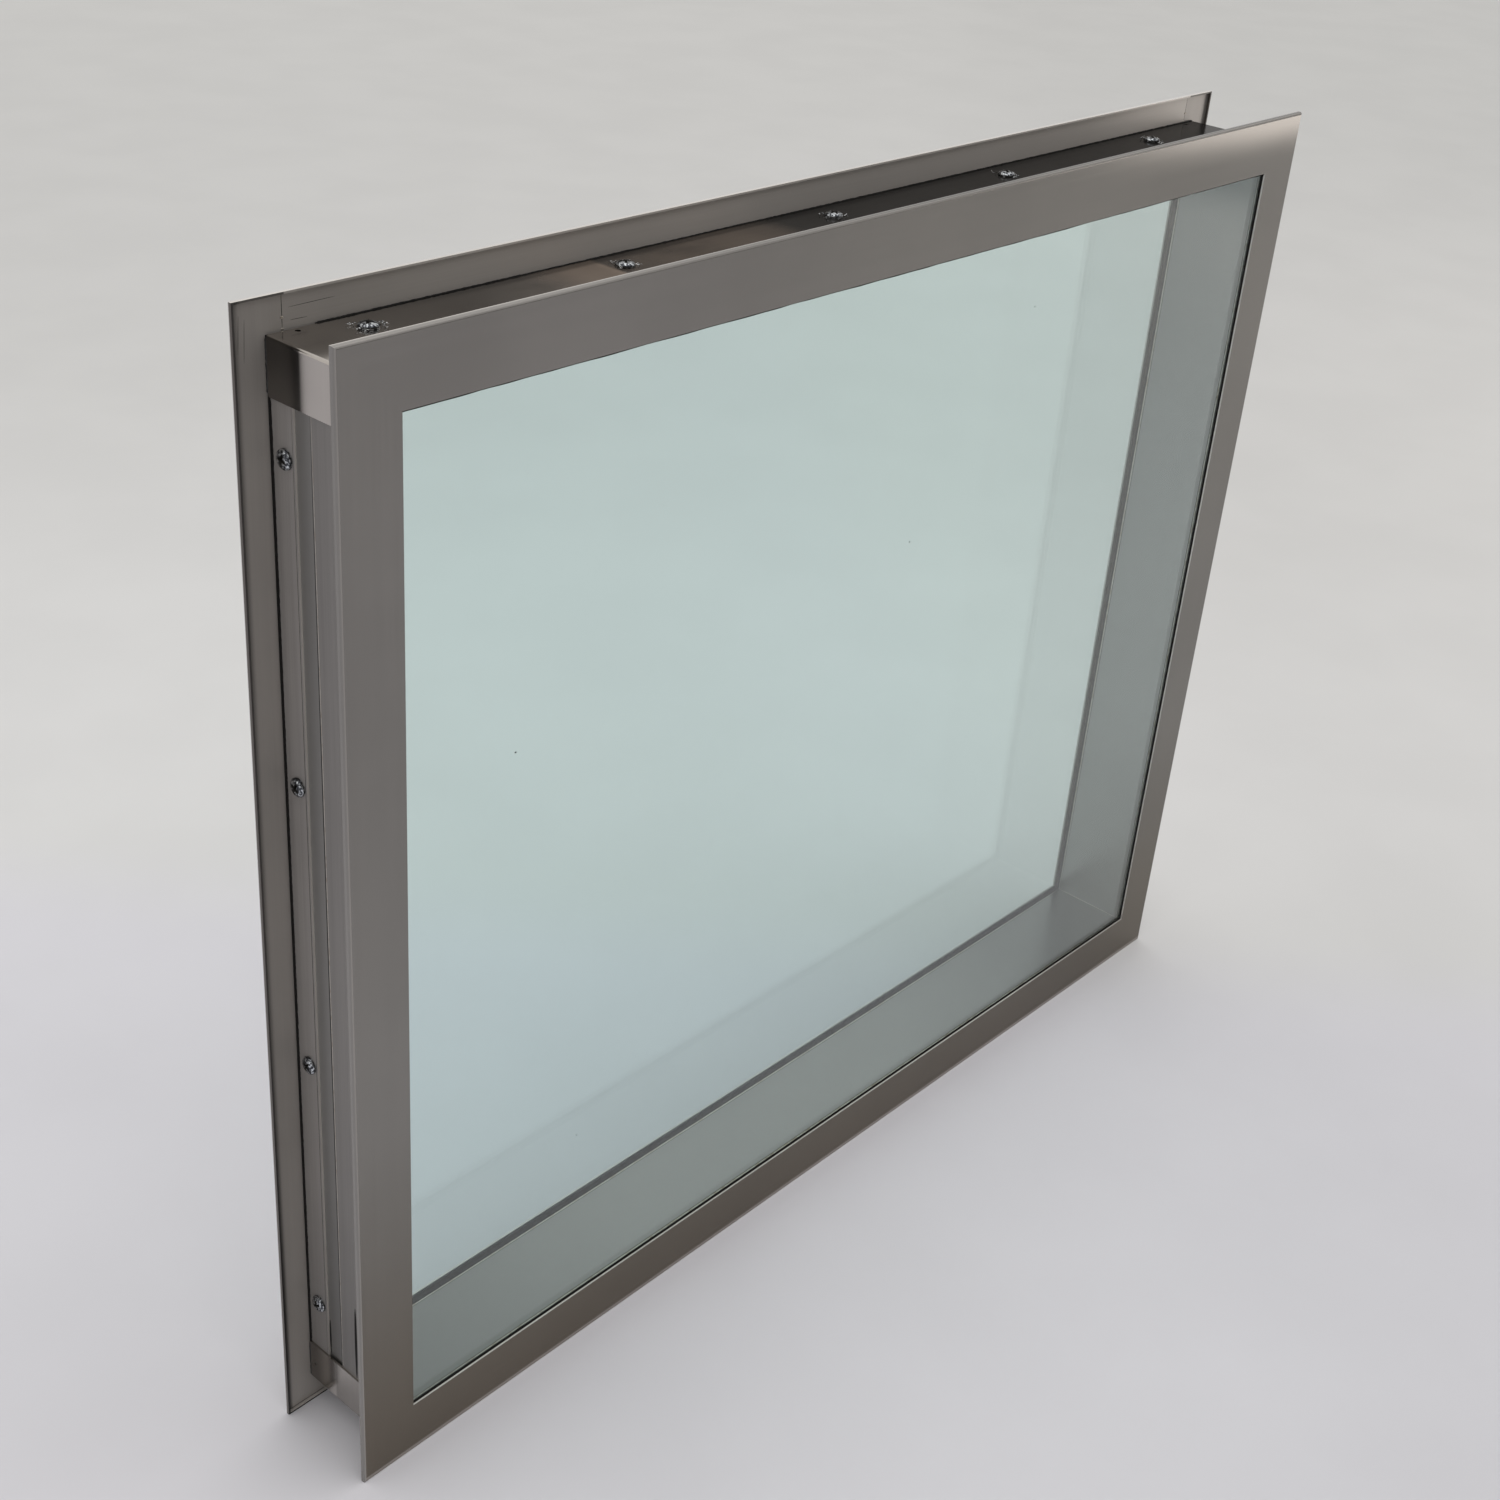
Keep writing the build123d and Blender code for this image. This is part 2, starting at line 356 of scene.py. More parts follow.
@dataclass(frozen=True)
class FlangeSteel:
    """Satin trim with painted light: paler on the side towards the wall, painted highlights on the cut edges
    and upper folds, and painted shade near the floor, towards the right and in corners and creases.
    """

    name: str
    hairline: Hairline
    tint: Colour = (0.237, 0.225, 0.210)
    # painted light: the side towards the wall is a paler copy of the same steel
    wall_side_lit_tint: Colour = (0.405, 0.378, 0.352)
    # painted highlight on the cut edges and the folds
    edge_highlight_tint: Colour = (0.62, 0.585, 0.55)
    side_tint: Colour = (0.225, 0.215, 0.205)
    rear_tint: Colour = (0.25, 0.238, 0.226)
    floor_shade_tint: Colour = (0.62, 0.55, 0.46)      # painted shade: multiplies the tint at the floor
    through_glass_shade_tint: Colour = (0.215, 0.240, 0.225)  # painted shade, darker and greener, on the strip that shows through the edge of a pane
    floor_shade_height: float = 0.27
    width_shade_shares: Pair = (0.98, 0.78)            # of the tint, from left to right, as painted shade
    wall_side_light_shares: Pair = (1.0, 1.0)              # of the inner tint, from the middle to the right, as painted light
    cut_edge_light_share: float = 0.7                       # of the inner tint, on the cut edge of the lip: painted shade, and painted light where over 1
    corner_shade: float = 0.0                    # how much darker the inside is at the upper left
    bend_shade_share: float = 0.45                     # of the edge tint, on the front bend of the lip, as painted shade
    crease_shade_share: float = 1.0                    # of the inner tint, in the crease beside a jamb's lip, as painted shade
    foot_highlight: float = 0.35                      # how much of the edge tint shows at the foot, as a painted highlight line
    fold_reach: Pair = (-0.45, 0.1)              # where the upper fold's share changes
    fold_highlight_shares: Pair = (1.0, 1.0)               # of the edge tint along the upper fold, left and right, as painted highlight
    arris_highlight_shares: Pair = (1.0, 1.0)              # the same on the arris of that fold
    metallic: float = 0.8
    inner_metallic: float = 0.35
    roughness: float = 0.24
    inner_roughness: float = 0.42
    relief: float = 0.002 * MM
    lift: float = 0.0                            # how far the upper right corner leans back

    def lifted(self, graph: Graph) -> Socket:
        """Lean the sheet back slightly towards the upper right corner, where it was sprung by welding.

        Args:
            graph: The material's nodes.

        Returns:
            The normal of the sprung sheet.
        """
        x, _, z = graph.at
        low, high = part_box("front_flange_head")
        across = graph.rise(x, 0.0, high.x)
        reach = {"Value": z, "From Min": low.z + 0.2 * (high.z - low.z), "From Max": high.z}
        steep = graph.math("POWER", graph.add("ShaderNodeMapRange", reach).outputs[0], 1.4)
        tilt = graph.add("ShaderNodeCombineXYZ", {"Z": graph.times(across, steep, self.lift)}).outputs[0]
        normal = graph.add("ShaderNodeNewGeometry").outputs["Normal"]
        leaning = graph.add("ShaderNodeVectorMath", {0: normal, 1: tilt}, operation="ADD").outputs[0]
        return graph.add("ShaderNodeVectorMath", {0: leaning}, operation="NORMALIZE").outputs[0]

    def folds(self, graph: Graph) -> Socket:
        """Colour the folds along the outer edge and the cut edges of the opening with painted highlights, the
        front bend of a lip with painted shade, and the outward side of a jamb's lip.

        Args:
            graph: The material's nodes.

        Returns:
            The colour.
        """
        x, y, z = graph.at
        share = graph.span(x, *self.fold_reach, *self.fold_highlight_shares)
        arris = graph.span(x, *self.fold_reach, *self.arris_highlight_shares)
        share = graph.slide(graph.rise(y, *ARRIS), share, arris)
        top = graph.rise(z, LIP_TOP - 0.5 * MM, LIP_TOP + 0.5 * MM)
        end = graph.beyond(x, LIP_SIDE, 0.4 * MM)
        upper = graph.times(graph.upper, top)
        # painted highlight: the cut edges take the whole edge tint, the upper fold a share of it along its
        # length
        colour = graph.blend(upper, self.edge_highlight_tint, graph.shaded(self.edge_highlight_tint, share))
        # painted shade on the front bend of a lip
        bend = graph.times(graph.math("MAXIMUM", end, top), graph.fall(y, *BEND))
        colour = graph.blend(bend, colour, part_of(self.edge_highlight_tint, self.bend_shade_share))
        sideways = graph.times(graph.faces(0), end)
        side = graph.blend(graph.rise(y, *REAR_BEND), self.side_tint, self.rear_tint)
        return graph.blend(sideways, colour, side)

    def room_side(self, graph: Graph) -> Socket:
        """Colour the flat side towards the room, darker and browner near the floor and darker to the right as
        painted shade, with a painted highlight line at the foot over painted shade at its lower edge.

        Args:
            graph: The material's nodes.

        Returns:
            The colour.
        """
        x, _, z = graph.at
        # painted shade: darker and browner towards the floor
        floor_shaded_tint = tuple(t * f for t, f in zip(self.tint, self.floor_shade_tint))
        colour = graph.blend(graph.fall(z, 0.0, self.floor_shade_height), self.tint, floor_shaded_tint)
        # painted shade: darker towards the right
        colour = graph.shaded(colour, graph.span(x, -HALF_WIDTH, HALF_WIDTH, *self.width_shade_shares))
        # a painted highlight line at the foot, over painted shade along the lower edge
        line = graph.times(graph.rise(z, *FOOT_HIGHLIGHT), graph.fall(z, *FOOT_HIGHLIGHT_END))
        colour = graph.blend(graph.times(line, self.foot_highlight), colour, self.edge_highlight_tint)
        return graph.shaded(colour, graph.span(z, *FOOT_SHADE, 0.5, 1.0))

    def wall_side(self, graph: Graph) -> Socket:
        """Colour the side towards the wall in paler painted light, with painted shade in the upper left
        corner, the crease and the foot, and darker, greener painted shade behind a pane's edge.

        Args:
            graph: The material's nodes.

        Returns:
            The colour.
        """
        x, y, z = graph.at
        aside = graph.math("ABSOLUTE", x)
        corner = graph.times(graph.fall(x, -HALF_WIDTH, -0.25), graph.rise(z, 0.64, 0.74))
        share = graph.times(
            graph.span(y, *CUT_EDGE, self.cut_edge_light_share, 1.0),
            graph.span(x, 0.0, HALF_WIDTH, *self.wall_side_light_shares),
            graph.span(corner, 0.0, 1.0, 1.0, 1.0 - self.corner_shade),
            graph.span(z, *INNER_FOOT_SHADE, 0.3, 1.0),
        )
        # painted shade in the crease beside a jamb's lip, deeper towards the floor
        if self.crease_shade_share < 1.0:
            dark = graph.span(z, 0.05, 0.35, 0.25 * self.crease_shade_share, self.crease_shade_share)
            share = graph.times(share, graph.slide(graph.rise(aside, *CREASE), 1.0, dark))
        # painted shade, darker and greener, where the strip shows through the edge of a pane
        through_glass = graph.times(
            graph.rise(z, *GLAZED_FOOT), graph.fall(z, *GLAZED_HEAD), graph.fall(aside, *GLAZED_SIDE)
        )
        return graph.blend(through_glass, graph.shaded(self.wall_side_lit_tint, share), self.through_glass_shade_tint)

    def paint(self, graph: Graph) -> None:
        """Fill the node tree of the material."""
        lines = self.hairline.lines(graph)
        outward = graph.times(graph.facing[1], graph.math("DIVIDE", graph.at[1], 0.04))
        inside = graph.rise(outward, -0.4, -0.7)
        flat = graph.beyond(graph.facing[1], 0.955, 0.02)
        # the wall side takes its paler painted light, the room side its darker tint
        colour = graph.blend(inside, self.room_side(graph), self.wall_side(graph))
        colour = graph.blend(flat, self.folds(graph), colour)
        rough = graph.slide(inside, self.roughness, self.inner_roughness)
        bump = graph.relief(lines, self.relief)
        if self.lift:
            graph.feed(bump.node.inputs["Normal"], self.lifted(graph))
        metal = graph.slide(inside, self.metallic, self.inner_metallic)
        graph.surface(graph.principled(
            Base_Color=self.hairline.toned(graph, colour, lines),
            Metallic=graph.slide(flat, self.inner_metallic, metal),
            Roughness=graph.math("ADD", rough, graph.span(lines, 0.2, 0.8, -0.02, 0.02)),
            Normal=bump,
        ))


@dataclass(frozen=True)
class ChannelSteel:
    """Sheet of the channel and the spacers, smoother than the trim, with painted highlights on the cut edges
    and painted light and shade on its faces.
    """

    name: str
    hairline: Hairline
    tint: Colour
    top_shade_shares: Pair = (1.0, 1.0)        # of the tint on top, from the left end to the middle, as painted shade
    far_shade_share: float = 1.0               # what is left of that at the right end, as painted shade
    corner_shade_share: float = 1.0            # what is left of the top in the corner beside the back frame, as painted shade
    side_light_share: float = 1.0              # of the tint facing outwards at a jamb, in its front part, as painted light and shade
    middle_light_share: float = 1.0            # the same in the middle
    rear_light_share: float = 1.0              # the same at the rear
    low_light_share: float = 1.0               # what is left of that at the lower edge of a head tab, as painted light
    foot_shade_share: float = 1.0              # what is left of that at the foot, as painted shade
    reveal_light_shares: Pair = (1.0, 1.0)     # of the tint on a jamb's inner face, foot to head, as painted light and shade
    brown_patching: float = 0.0                    # how strongly brown patches show on the top
    brown_patch_tint: Colour = (0.25, 0.195, 0.155)
    dull_metallic: float = 0.0           # of the brown patches, and of the top from the middle to the right
    gloss: float = 0.5
    # painted highlight on the cut edges
    edge_highlight_tint: Colour = (0.60, 0.57, 0.53)
    metallic: float = 1.0
    roughness: float = 0.16
    relief: float = 0.001 * MM

    def share(self, graph: Graph) -> Socket:
        """How much of the tint each face shows: painted light and shade on the top, the reveals and the
        outward faces.

        Args:
            graph: The material's nodes.

        Returns:
            The share.
        """
        x, y, z = graph.at
        # painted shade on the top, darker towards the right
        top = graph.times(
            graph.span(x, -HALF_WIDTH, -0.15, *self.top_shade_shares),
            graph.span(x, 0.05, 0.35, 1.0, self.far_shade_share),
        )
        top = graph.slide(graph.upper, 1.0, top)
        outward = graph.times(graph.facing[0], graph.math("DIVIDE", x, 0.43))
        # painted light and shade on a jamb's reveal, from foot to head
        reveal = graph.span(z, 0.2, 0.7, *self.reveal_light_shares)
        top = graph.slide(graph.fall(outward, -0.8, -0.5), top, reveal)
        # painted light and shade on the outward faces: front part, middle and rear
        side = graph.span(y, STRIP_STEP - 2 * MM, STRIP_STEP, self.side_light_share, self.middle_light_share)
        behind = graph.span(y, STRIP_STEP, 34 * MM, self.middle_light_share, self.rear_light_share)
        side = graph.slide(graph.rise(y, STRIP_STEP, STRIP_STEP + 0.2 * MM), side, behind)
        # painted light at the lower edge of a head tab's back part
        low = graph.span(z, *TAB_EDGE, self.low_light_share, 1.0)
        low = graph.slide(graph.rise(y, STRIP_STEP - 2 * MM, STRIP_STEP), 1.0, low)
        side = graph.times(side, low, graph.span(z, 0.05, 0.25, self.foot_shade_share, 1.0))
        return graph.slide(graph.rise(outward, 0.5, 0.8), top, side)

    def brown_patched(self, graph: Graph) -> Socket:
        """Where the brown patches lie: patchy, and left of each screw on the top.

        Args:
            graph: The material's nodes.

        Returns:
            The patches' strength.
        """
        x = graph.at[0]
        shifted = graph.math("ADD", x, RAIL_SCREWS * RAIL_PITCH - FIRST_SCREW)
        phase = graph.math("FRACT", graph.math("DIVIDE", shifted, RAIL_PITCH))
        patches = graph.noise(graph.scaled(graph.place, (16.0, 30.0, 30.0)), 1.0, 3.0)
        return graph.times(
            graph.span(phase, 0.62, 0.84, 0.3, 1.0), graph.span(phase, 0.94, 0.965, 1.0, 0.3),
            graph.span(patches, 0.38, 0.62, 0.70, 1.0), graph.span(graph.facing[2], 0.5, 0.8, 0.0, self.brown_patching),
            graph.rise(x, -0.33, -0.25), graph.fall(x, -0.105, -0.055),
        )

    def patched_and_corner_shaded(self, graph: Graph, colour: Socket) -> tuple[Socket, Socket]:
        """Lay the brown patches on the top, and paint shade on the top in the corner beside the back frame.

        Args:
            graph: The material's nodes.
            colour: The colour of the bare sheet.

        Returns:
            The colour, and how metallic the surface is.
        """
        x, y, _ = graph.at
        brown_share = self.brown_patched(graph)
        upper = graph.upper
        bright = graph.span(x, -0.30, -0.05, self.metallic, self.dull_metallic)
        metal = graph.slide(brown_share, graph.slide(upper, self.metallic, bright), self.dull_metallic)
        # painted shade on the top in the corner beside the back frame
        corner = graph.times(graph.rise(y, 28.5 * MM, 35 * MM), graph.rise(x, -0.40, -0.25), upper)
        colour = graph.blend(brown_share, colour, self.brown_patch_tint)
        return graph.shaded(colour, graph.span(corner, 0.0, 1.0, 1.0, self.corner_shade_share)), metal

    def paint(self, graph: Graph) -> None:
        """Fill the node tree of the material."""
        upright = Hairline(Grain.UPRIGHT, self.hairline.streak, self.hairline.cloud)
        grains = [hairline.lines(graph) for hairline in (self.hairline, upright)]
        lines = graph.slide(graph.faces(0), *grains)
        colour, metal = graph.shaded(self.tint, self.share(graph)), self.metallic
        if self.brown_patching:
            colour, metal = self.patched_and_corner_shaded(graph, colour)
        # painted highlight on the cut edges that face the front and the back
        colour = graph.blend(graph.faces(1), colour, self.edge_highlight_tint)
        graph.surface(graph.principled(
            Base_Color=self.hairline.toned(graph, colour, lines),
            Metallic=metal,
            Roughness=graph.math("ADD", graph.span(lines, 0.2, 0.8, -0.02, 0.02), self.roughness),
            Normal=graph.relief(lines, self.relief),
            Specular_IOR_Level=self.gloss,
        ))


@dataclass(frozen=True)
class ClearGlass:
    """Clear toughened glass with a green cast, faint waviness and a thin uneven layer of dust."""

    name: str
    tint: Colour
    shadow_tint: Colour = (0.975, 0.99, 0.987)
    wave: float = 0.025 * MM
    index: float = 1.5

    def paint(self, graph: Graph) -> None:
        """Fill the node tree of the material."""
        waves = graph.noise(graph.scaled(graph.place, (3.0, 1.0, 9.0)), 1.0, 1.0)
        dusty = graph.span(graph.noise(graph.place, 4.0, 4.0), 0.45, 0.75, 0.0, 0.35)
        glass = graph.principled(
            Base_Color=graph.blend(dusty, self.tint, part_of(self.tint, 0.97)),
            Roughness=0.0,
            IOR=self.index,
            Transmission_Weight=1.0,
            Normal=graph.relief(waves, self.wave),
        )
        clear = graph.add("ShaderNodeBsdfTransparent", {"Color": self.shadow_tint}).outputs[0]
        graph.surface(graph.mixed(graph.ray("Is Shadow Ray"), glass, clear))


@dataclass(frozen=True)
class Speckled:
    """Finish of a small thing: patches of a second tint, and fine grains."""

    name: str
    tint: Colour
    patch_tint: Colour
    grain: float                             # grains in a metre
    patch: Pair                              # patches in a metre, and their octaves of detail
    patch_reach: Pair                        # the noise that starts a patch and that fills it
    rough: Pair                              # the least and the most roughness
    bump: Pair = (0.0, 0.0)                  # depth of the grains, and the share that shows
    patch_most: float = 1.0
    metallic: float = 0.0
    gloss: float = 0.5
    dull_in_patches: bool = False            # whether roughness follows the patches or the grains

    def paint(self, graph: Graph) -> None:
        """Fill the node tree of the material."""
        grains = graph.noise(graph.place, self.grain, 3.0)
        patches = graph.noise(graph.place, *self.patch)
        filled = graph.span(patches, *self.patch_reach, 0.0, self.patch_most)
        relief = {"Normal": graph.relief(grains, *self.bump)} if self.bump[0] else {}
        graph.surface(graph.principled(
            Base_Color=graph.blend(filled, self.tint, self.patch_tint),
            Metallic=self.metallic,
            Roughness=graph.span(patches if self.dull_in_patches else grains, 0.3, 0.7, *self.rough),
            Specular_IOR_Level=self.gloss,
            **relief,
        ))


ALONG = Hairline(Grain.ACROSS_WIDTH)
UPRIGHT = Hairline(Grain.UPRIGHT)
STRIP_LINES = Hairline(Grain.UPRIGHT, streak=0.08)

RAIL_STEEL = FlangeSteel("rail_flange_steel", ALONG)
JAMB_STEEL = FlangeSteel("jamb_flange_steel", UPRIGHT, floor_shade_height=0.31)
# The right front jamb: a deeper painted shade on the front bend
FRONT_RIGHT_STEEL = FlangeSteel("front_right_steel", UPRIGHT, lift=0.15, bend_shade_share=0.12)
# The back jambs: painted shade on the outward side of the lip, on its cut edge, in the upper left corner and
# in the crease beside the lip
BACK_JAMB_STEEL = FlangeSteel(
    "back_jamb_steel", UPRIGHT, side_tint=(0.095, 0.083, 0.074), wall_side_light_shares=(1.0, 0.92), cut_edge_light_share=0.37,
    corner_shade=0.28, crease_shade_share=0.55,
)
# The back head: paler painted light on its inside and cut edge, painted shade in the upper left corner, and a
# painted highlight on the upper fold that fades to the right
BACK_HEAD_STEEL = FlangeSteel(
    "back_head_steel", ALONG, wall_side_light_shares=(1.05, 1.12), cut_edge_light_share=1.15, corner_shade=0.26,
    fold_reach=(0.0, 0.4), fold_highlight_shares=(1.0, 0.35),
)
# The front head: a painted highlight on the upper fold, dimmer towards the right
FRONT_HEAD_STEEL = FlangeSteel(
    "front_head_steel", ALONG, lift=0.15, fold_highlight_shares=(0.42, 0.10), arris_highlight_shares=(0.95, 0.16)
)
# The head's channel: painted shade on the top, darker to the right and in the back corner, and on the back
# part of each tab, with painted light at that part's lower edge
HEAD_WEB_STEEL = ChannelSteel(
    "head_web_steel", Hairline(Grain.ACROSS_WIDTH, cloud=0.16), (0.47, 0.44, 0.41),
    top_shade_shares=(1.05, 0.055), far_shade_share=0.42, corner_shade_share=0.55, middle_light_share=0.23, rear_light_share=0.23,
    low_light_share=1.9, brown_patching=1.0, gloss=0.03,
)
# The sill's channel: painted light and shade on the outward faces of the tabs
SILL_WEB_STEEL = ChannelSteel(
    "sill_web_steel", Hairline(Grain.ACROSS_WIDTH, cloud=0.2), (0.47, 0.44, 0.41),
    side_light_share=0.74, middle_light_share=1.35, rear_light_share=0.50,
)
# The strips: painted shade at the foot; the two tints are copies of one steel, the front one darker as
# painted shade
BACK_STRIP_STEEL = ChannelSteel(
    "back_strip_steel", STRIP_LINES, (0.318, 0.30, 0.288), foot_shade_share=0.75, metallic=0.4, roughness=0.36
)
FRONT_STRIP_STEEL = ChannelSteel(
    "front_strip_steel", STRIP_LINES, (0.207, 0.196, 0.188), foot_shade_share=0.72, metallic=0.4, roughness=0.36
)
# The spacers: copies of one steel in different painted tones; painted light on the sill's reveal, brightest
# near the middle
SPACER_RAIL_STEEL = ChannelSteel(
    "spacer_rail_steel", Hairline(Grain.ACROSS_WIDTH, streak=0.015, cloud=0.02), (0.288, 0.281, 0.273),
    top_shade_shares=(0.66, 1.08), far_shade_share=0.76, metallic=0.8, roughness=0.32,
)
# painted light and shade on the jamb spacers' faces and reveals
SPACER_JAMB_STEEL = ChannelSteel(
    "spacer_jamb_steel", Hairline(Grain.UPRIGHT, streak=0.015, cloud=0.02), (0.36, 0.352, 0.34),
    side_light_share=0.80, middle_light_share=0.80, rear_light_share=0.80, foot_shade_share=0.70, reveal_light_shares=(1.06, 0.80),
    metallic=0.8, roughness=0.32,
)
GLASS = ClearGlass("pane_glass", (0.86, 0.945, 0.94))
TAPE_BLACK = (0.008, 0.0075, 0.007)
# Black glazing tape; the same material paints the shadow lines in the gaps beside the cover strips
TAPE_AND_GAP_SHADOW = Speckled(
    "glazing_tape", TAPE_BLACK, part_of(TAPE_BLACK, 2.4), 1400.0, (40.0, 3.0), (0.4, 0.8), (0.62, 0.85),
    (0.15 * MM, 0.6), patch_most=0.6, gloss=0.2, dull_in_patches=True,
)
SEALANT = Speckled(
    "black_sealant", (0.010, 0.010, 0.010), (0.035, 0.035, 0.035), 520.0, (520.0, 3.0), (0.45, 0.7),
    (0.28, 0.5), (0.3 * MM, 0.8),
)
ZINC = Speckled(
    "screw_zinc", (0.62, 0.65, 0.68), (0.07, 0.075, 0.085), 800.0, (620.0, 2.0), (0.40, 0.56),
    (0.10, 0.26), (0.5 * MM, 1.0), metallic=1.0,
)
CHIP = replace(ZINC, name="bright_chips", tint=(0.90, 0.91, 0.92), patch_tint=(0.30, 0.31, 0.32))
# Weld metal; the same material paints the highlight lines on the strips' arrises and along the spacer's folds
WELD_AND_HIGHLIGHT = Speckled(
    "weld_metal_and_highlight", (0.62, 0.58, 0.52), (0.34, 0.25, 0.16), 700.0, (210.0, 2.0), (0.45, 0.7), (0.3, 0.5),
    (0.2 * MM, 0.8), patch_most=0.7, metallic=1.0,
)
# Grime for seams, scratches and dust; the same material paints shade into the screw recesses and along the
# spacer's folds
DIRT_AND_SHADE_BROWN = (0.016, 0.015, 0.013)
GRIME_AND_SHADE = Speckled(
    "grime_and_shade", DIRT_AND_SHADE_BROWN, part_of(DIRT_AND_SHADE_BROWN, 2.6), 300.0, (300.0, 3.0), (0.4, 0.7), (0.5, 0.8), gloss=0.25
)


def dress(node: str, finish: Finish) -> None:
    """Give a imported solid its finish."""
    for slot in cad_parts[node].material_slots:
        slot.material = material_of(finish)


def placed(name: str, data: bpy.types.ID) -> bpy.types.Object:
    """Put a mesh, a lamp or a camera into the scene.

    Args:
        name: The object's name.
        data: What it holds.

    Returns:
        The object.
    """
    thing = bpy.data.objects.new(name, data)
    bpy.context.scene.collection.objects.link(thing)
    return thing


def meshed(name: str, build: BMesh) -> bpy.types.Mesh:
    """Write a bmesh to a new mesh.

    Args:
        name: The mesh's name.
        build: Its shape, which is freed.

    Returns:
        The mesh.
    """
    mesh = bpy.data.meshes.new(name)
    build.to_mesh(mesh)
    build.free()
    return mesh


def piece_from(name: str, build: BMesh, finish: Finish, smooth: float = 40.0) -> bpy.types.Object:
    """Turn a bmesh into a piece that rides with the window.

    Args:
        name: The piece's name.
        build: Its shape, which is freed.
        finish: Its finish.
        smooth: Edges sharper than this many degrees stay crisp.

    Returns:
        The piece.
    """
    bmesh.ops.recalc_face_normals(build, faces=build.faces)
    mesh = meshed(name, build)
    mesh.shade_smooth()
    mesh.set_sharp_from_angle(angle=math.radians(smooth))
    mesh.materials.append(material_of(finish))
    piece = placed(name, mesh)
    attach(piece, BODY)
    log.info("%s: %d faces", name, len(mesh.polygons))
    return piece


def skin(build: BMesh, rings: list[list[Vector]]) -> None:
    """Join rings of points into a closed tube with both ends capped.

    Args:
        build: The bmesh to add to.
        rings: Closed rings with the same number of points.
    """
    rows = [[build.verts.new(point) for point in ring] for ring in rings]
    count = len(rows[0])
    for low, high in zip(rows, rows[1:]):
        for i in range(count):
            build.faces.new((low[i], low[(i + 1) % count], high[(i + 1) % count], high[i]))
    build.faces.new(rows[0][::-1])
    build.faces.new(rows[-1])


def sliver(build: BMesh, start: Vector, end: Vector, width: float, normal: Vector) -> None:
    """Add a thin line that lies on a sheet and tapers to its ends.

    Args:
        build: The bmesh to add to.
        start: One end, on the sheet.
        end: The other end, on the sheet.
        width: Its width at the middle.
        normal: Unit vector out of the sheet.
    """
    across = (end - start).normalized().cross(normal)
    rise, sink = normal * 0.06 * MM, normal * 0.01 * MM
    rings = []
    steps = 12
    for i in range(steps + 1):
        share = i / steps
        half = 0.5 * width * (0.25 + 0.75 * math.sin(math.pi * share) ** 0.5)
        point = start.lerp(end, share)
        rings.append([point - across * half - sink, point + across * half - sink, point + rise])
    skin(build, rings)


def sides_between(left: float, right: float, foot: float, head: float) -> list[tuple[Pair, Pair]]:
    """The ends of the four sides of an upright rectangle, as X and Z, in order round it."""
    corners = [(left, foot), (right, foot), (right, head), (left, head)]
    return list(zip(corners, corners[1:] + corners[:1]))


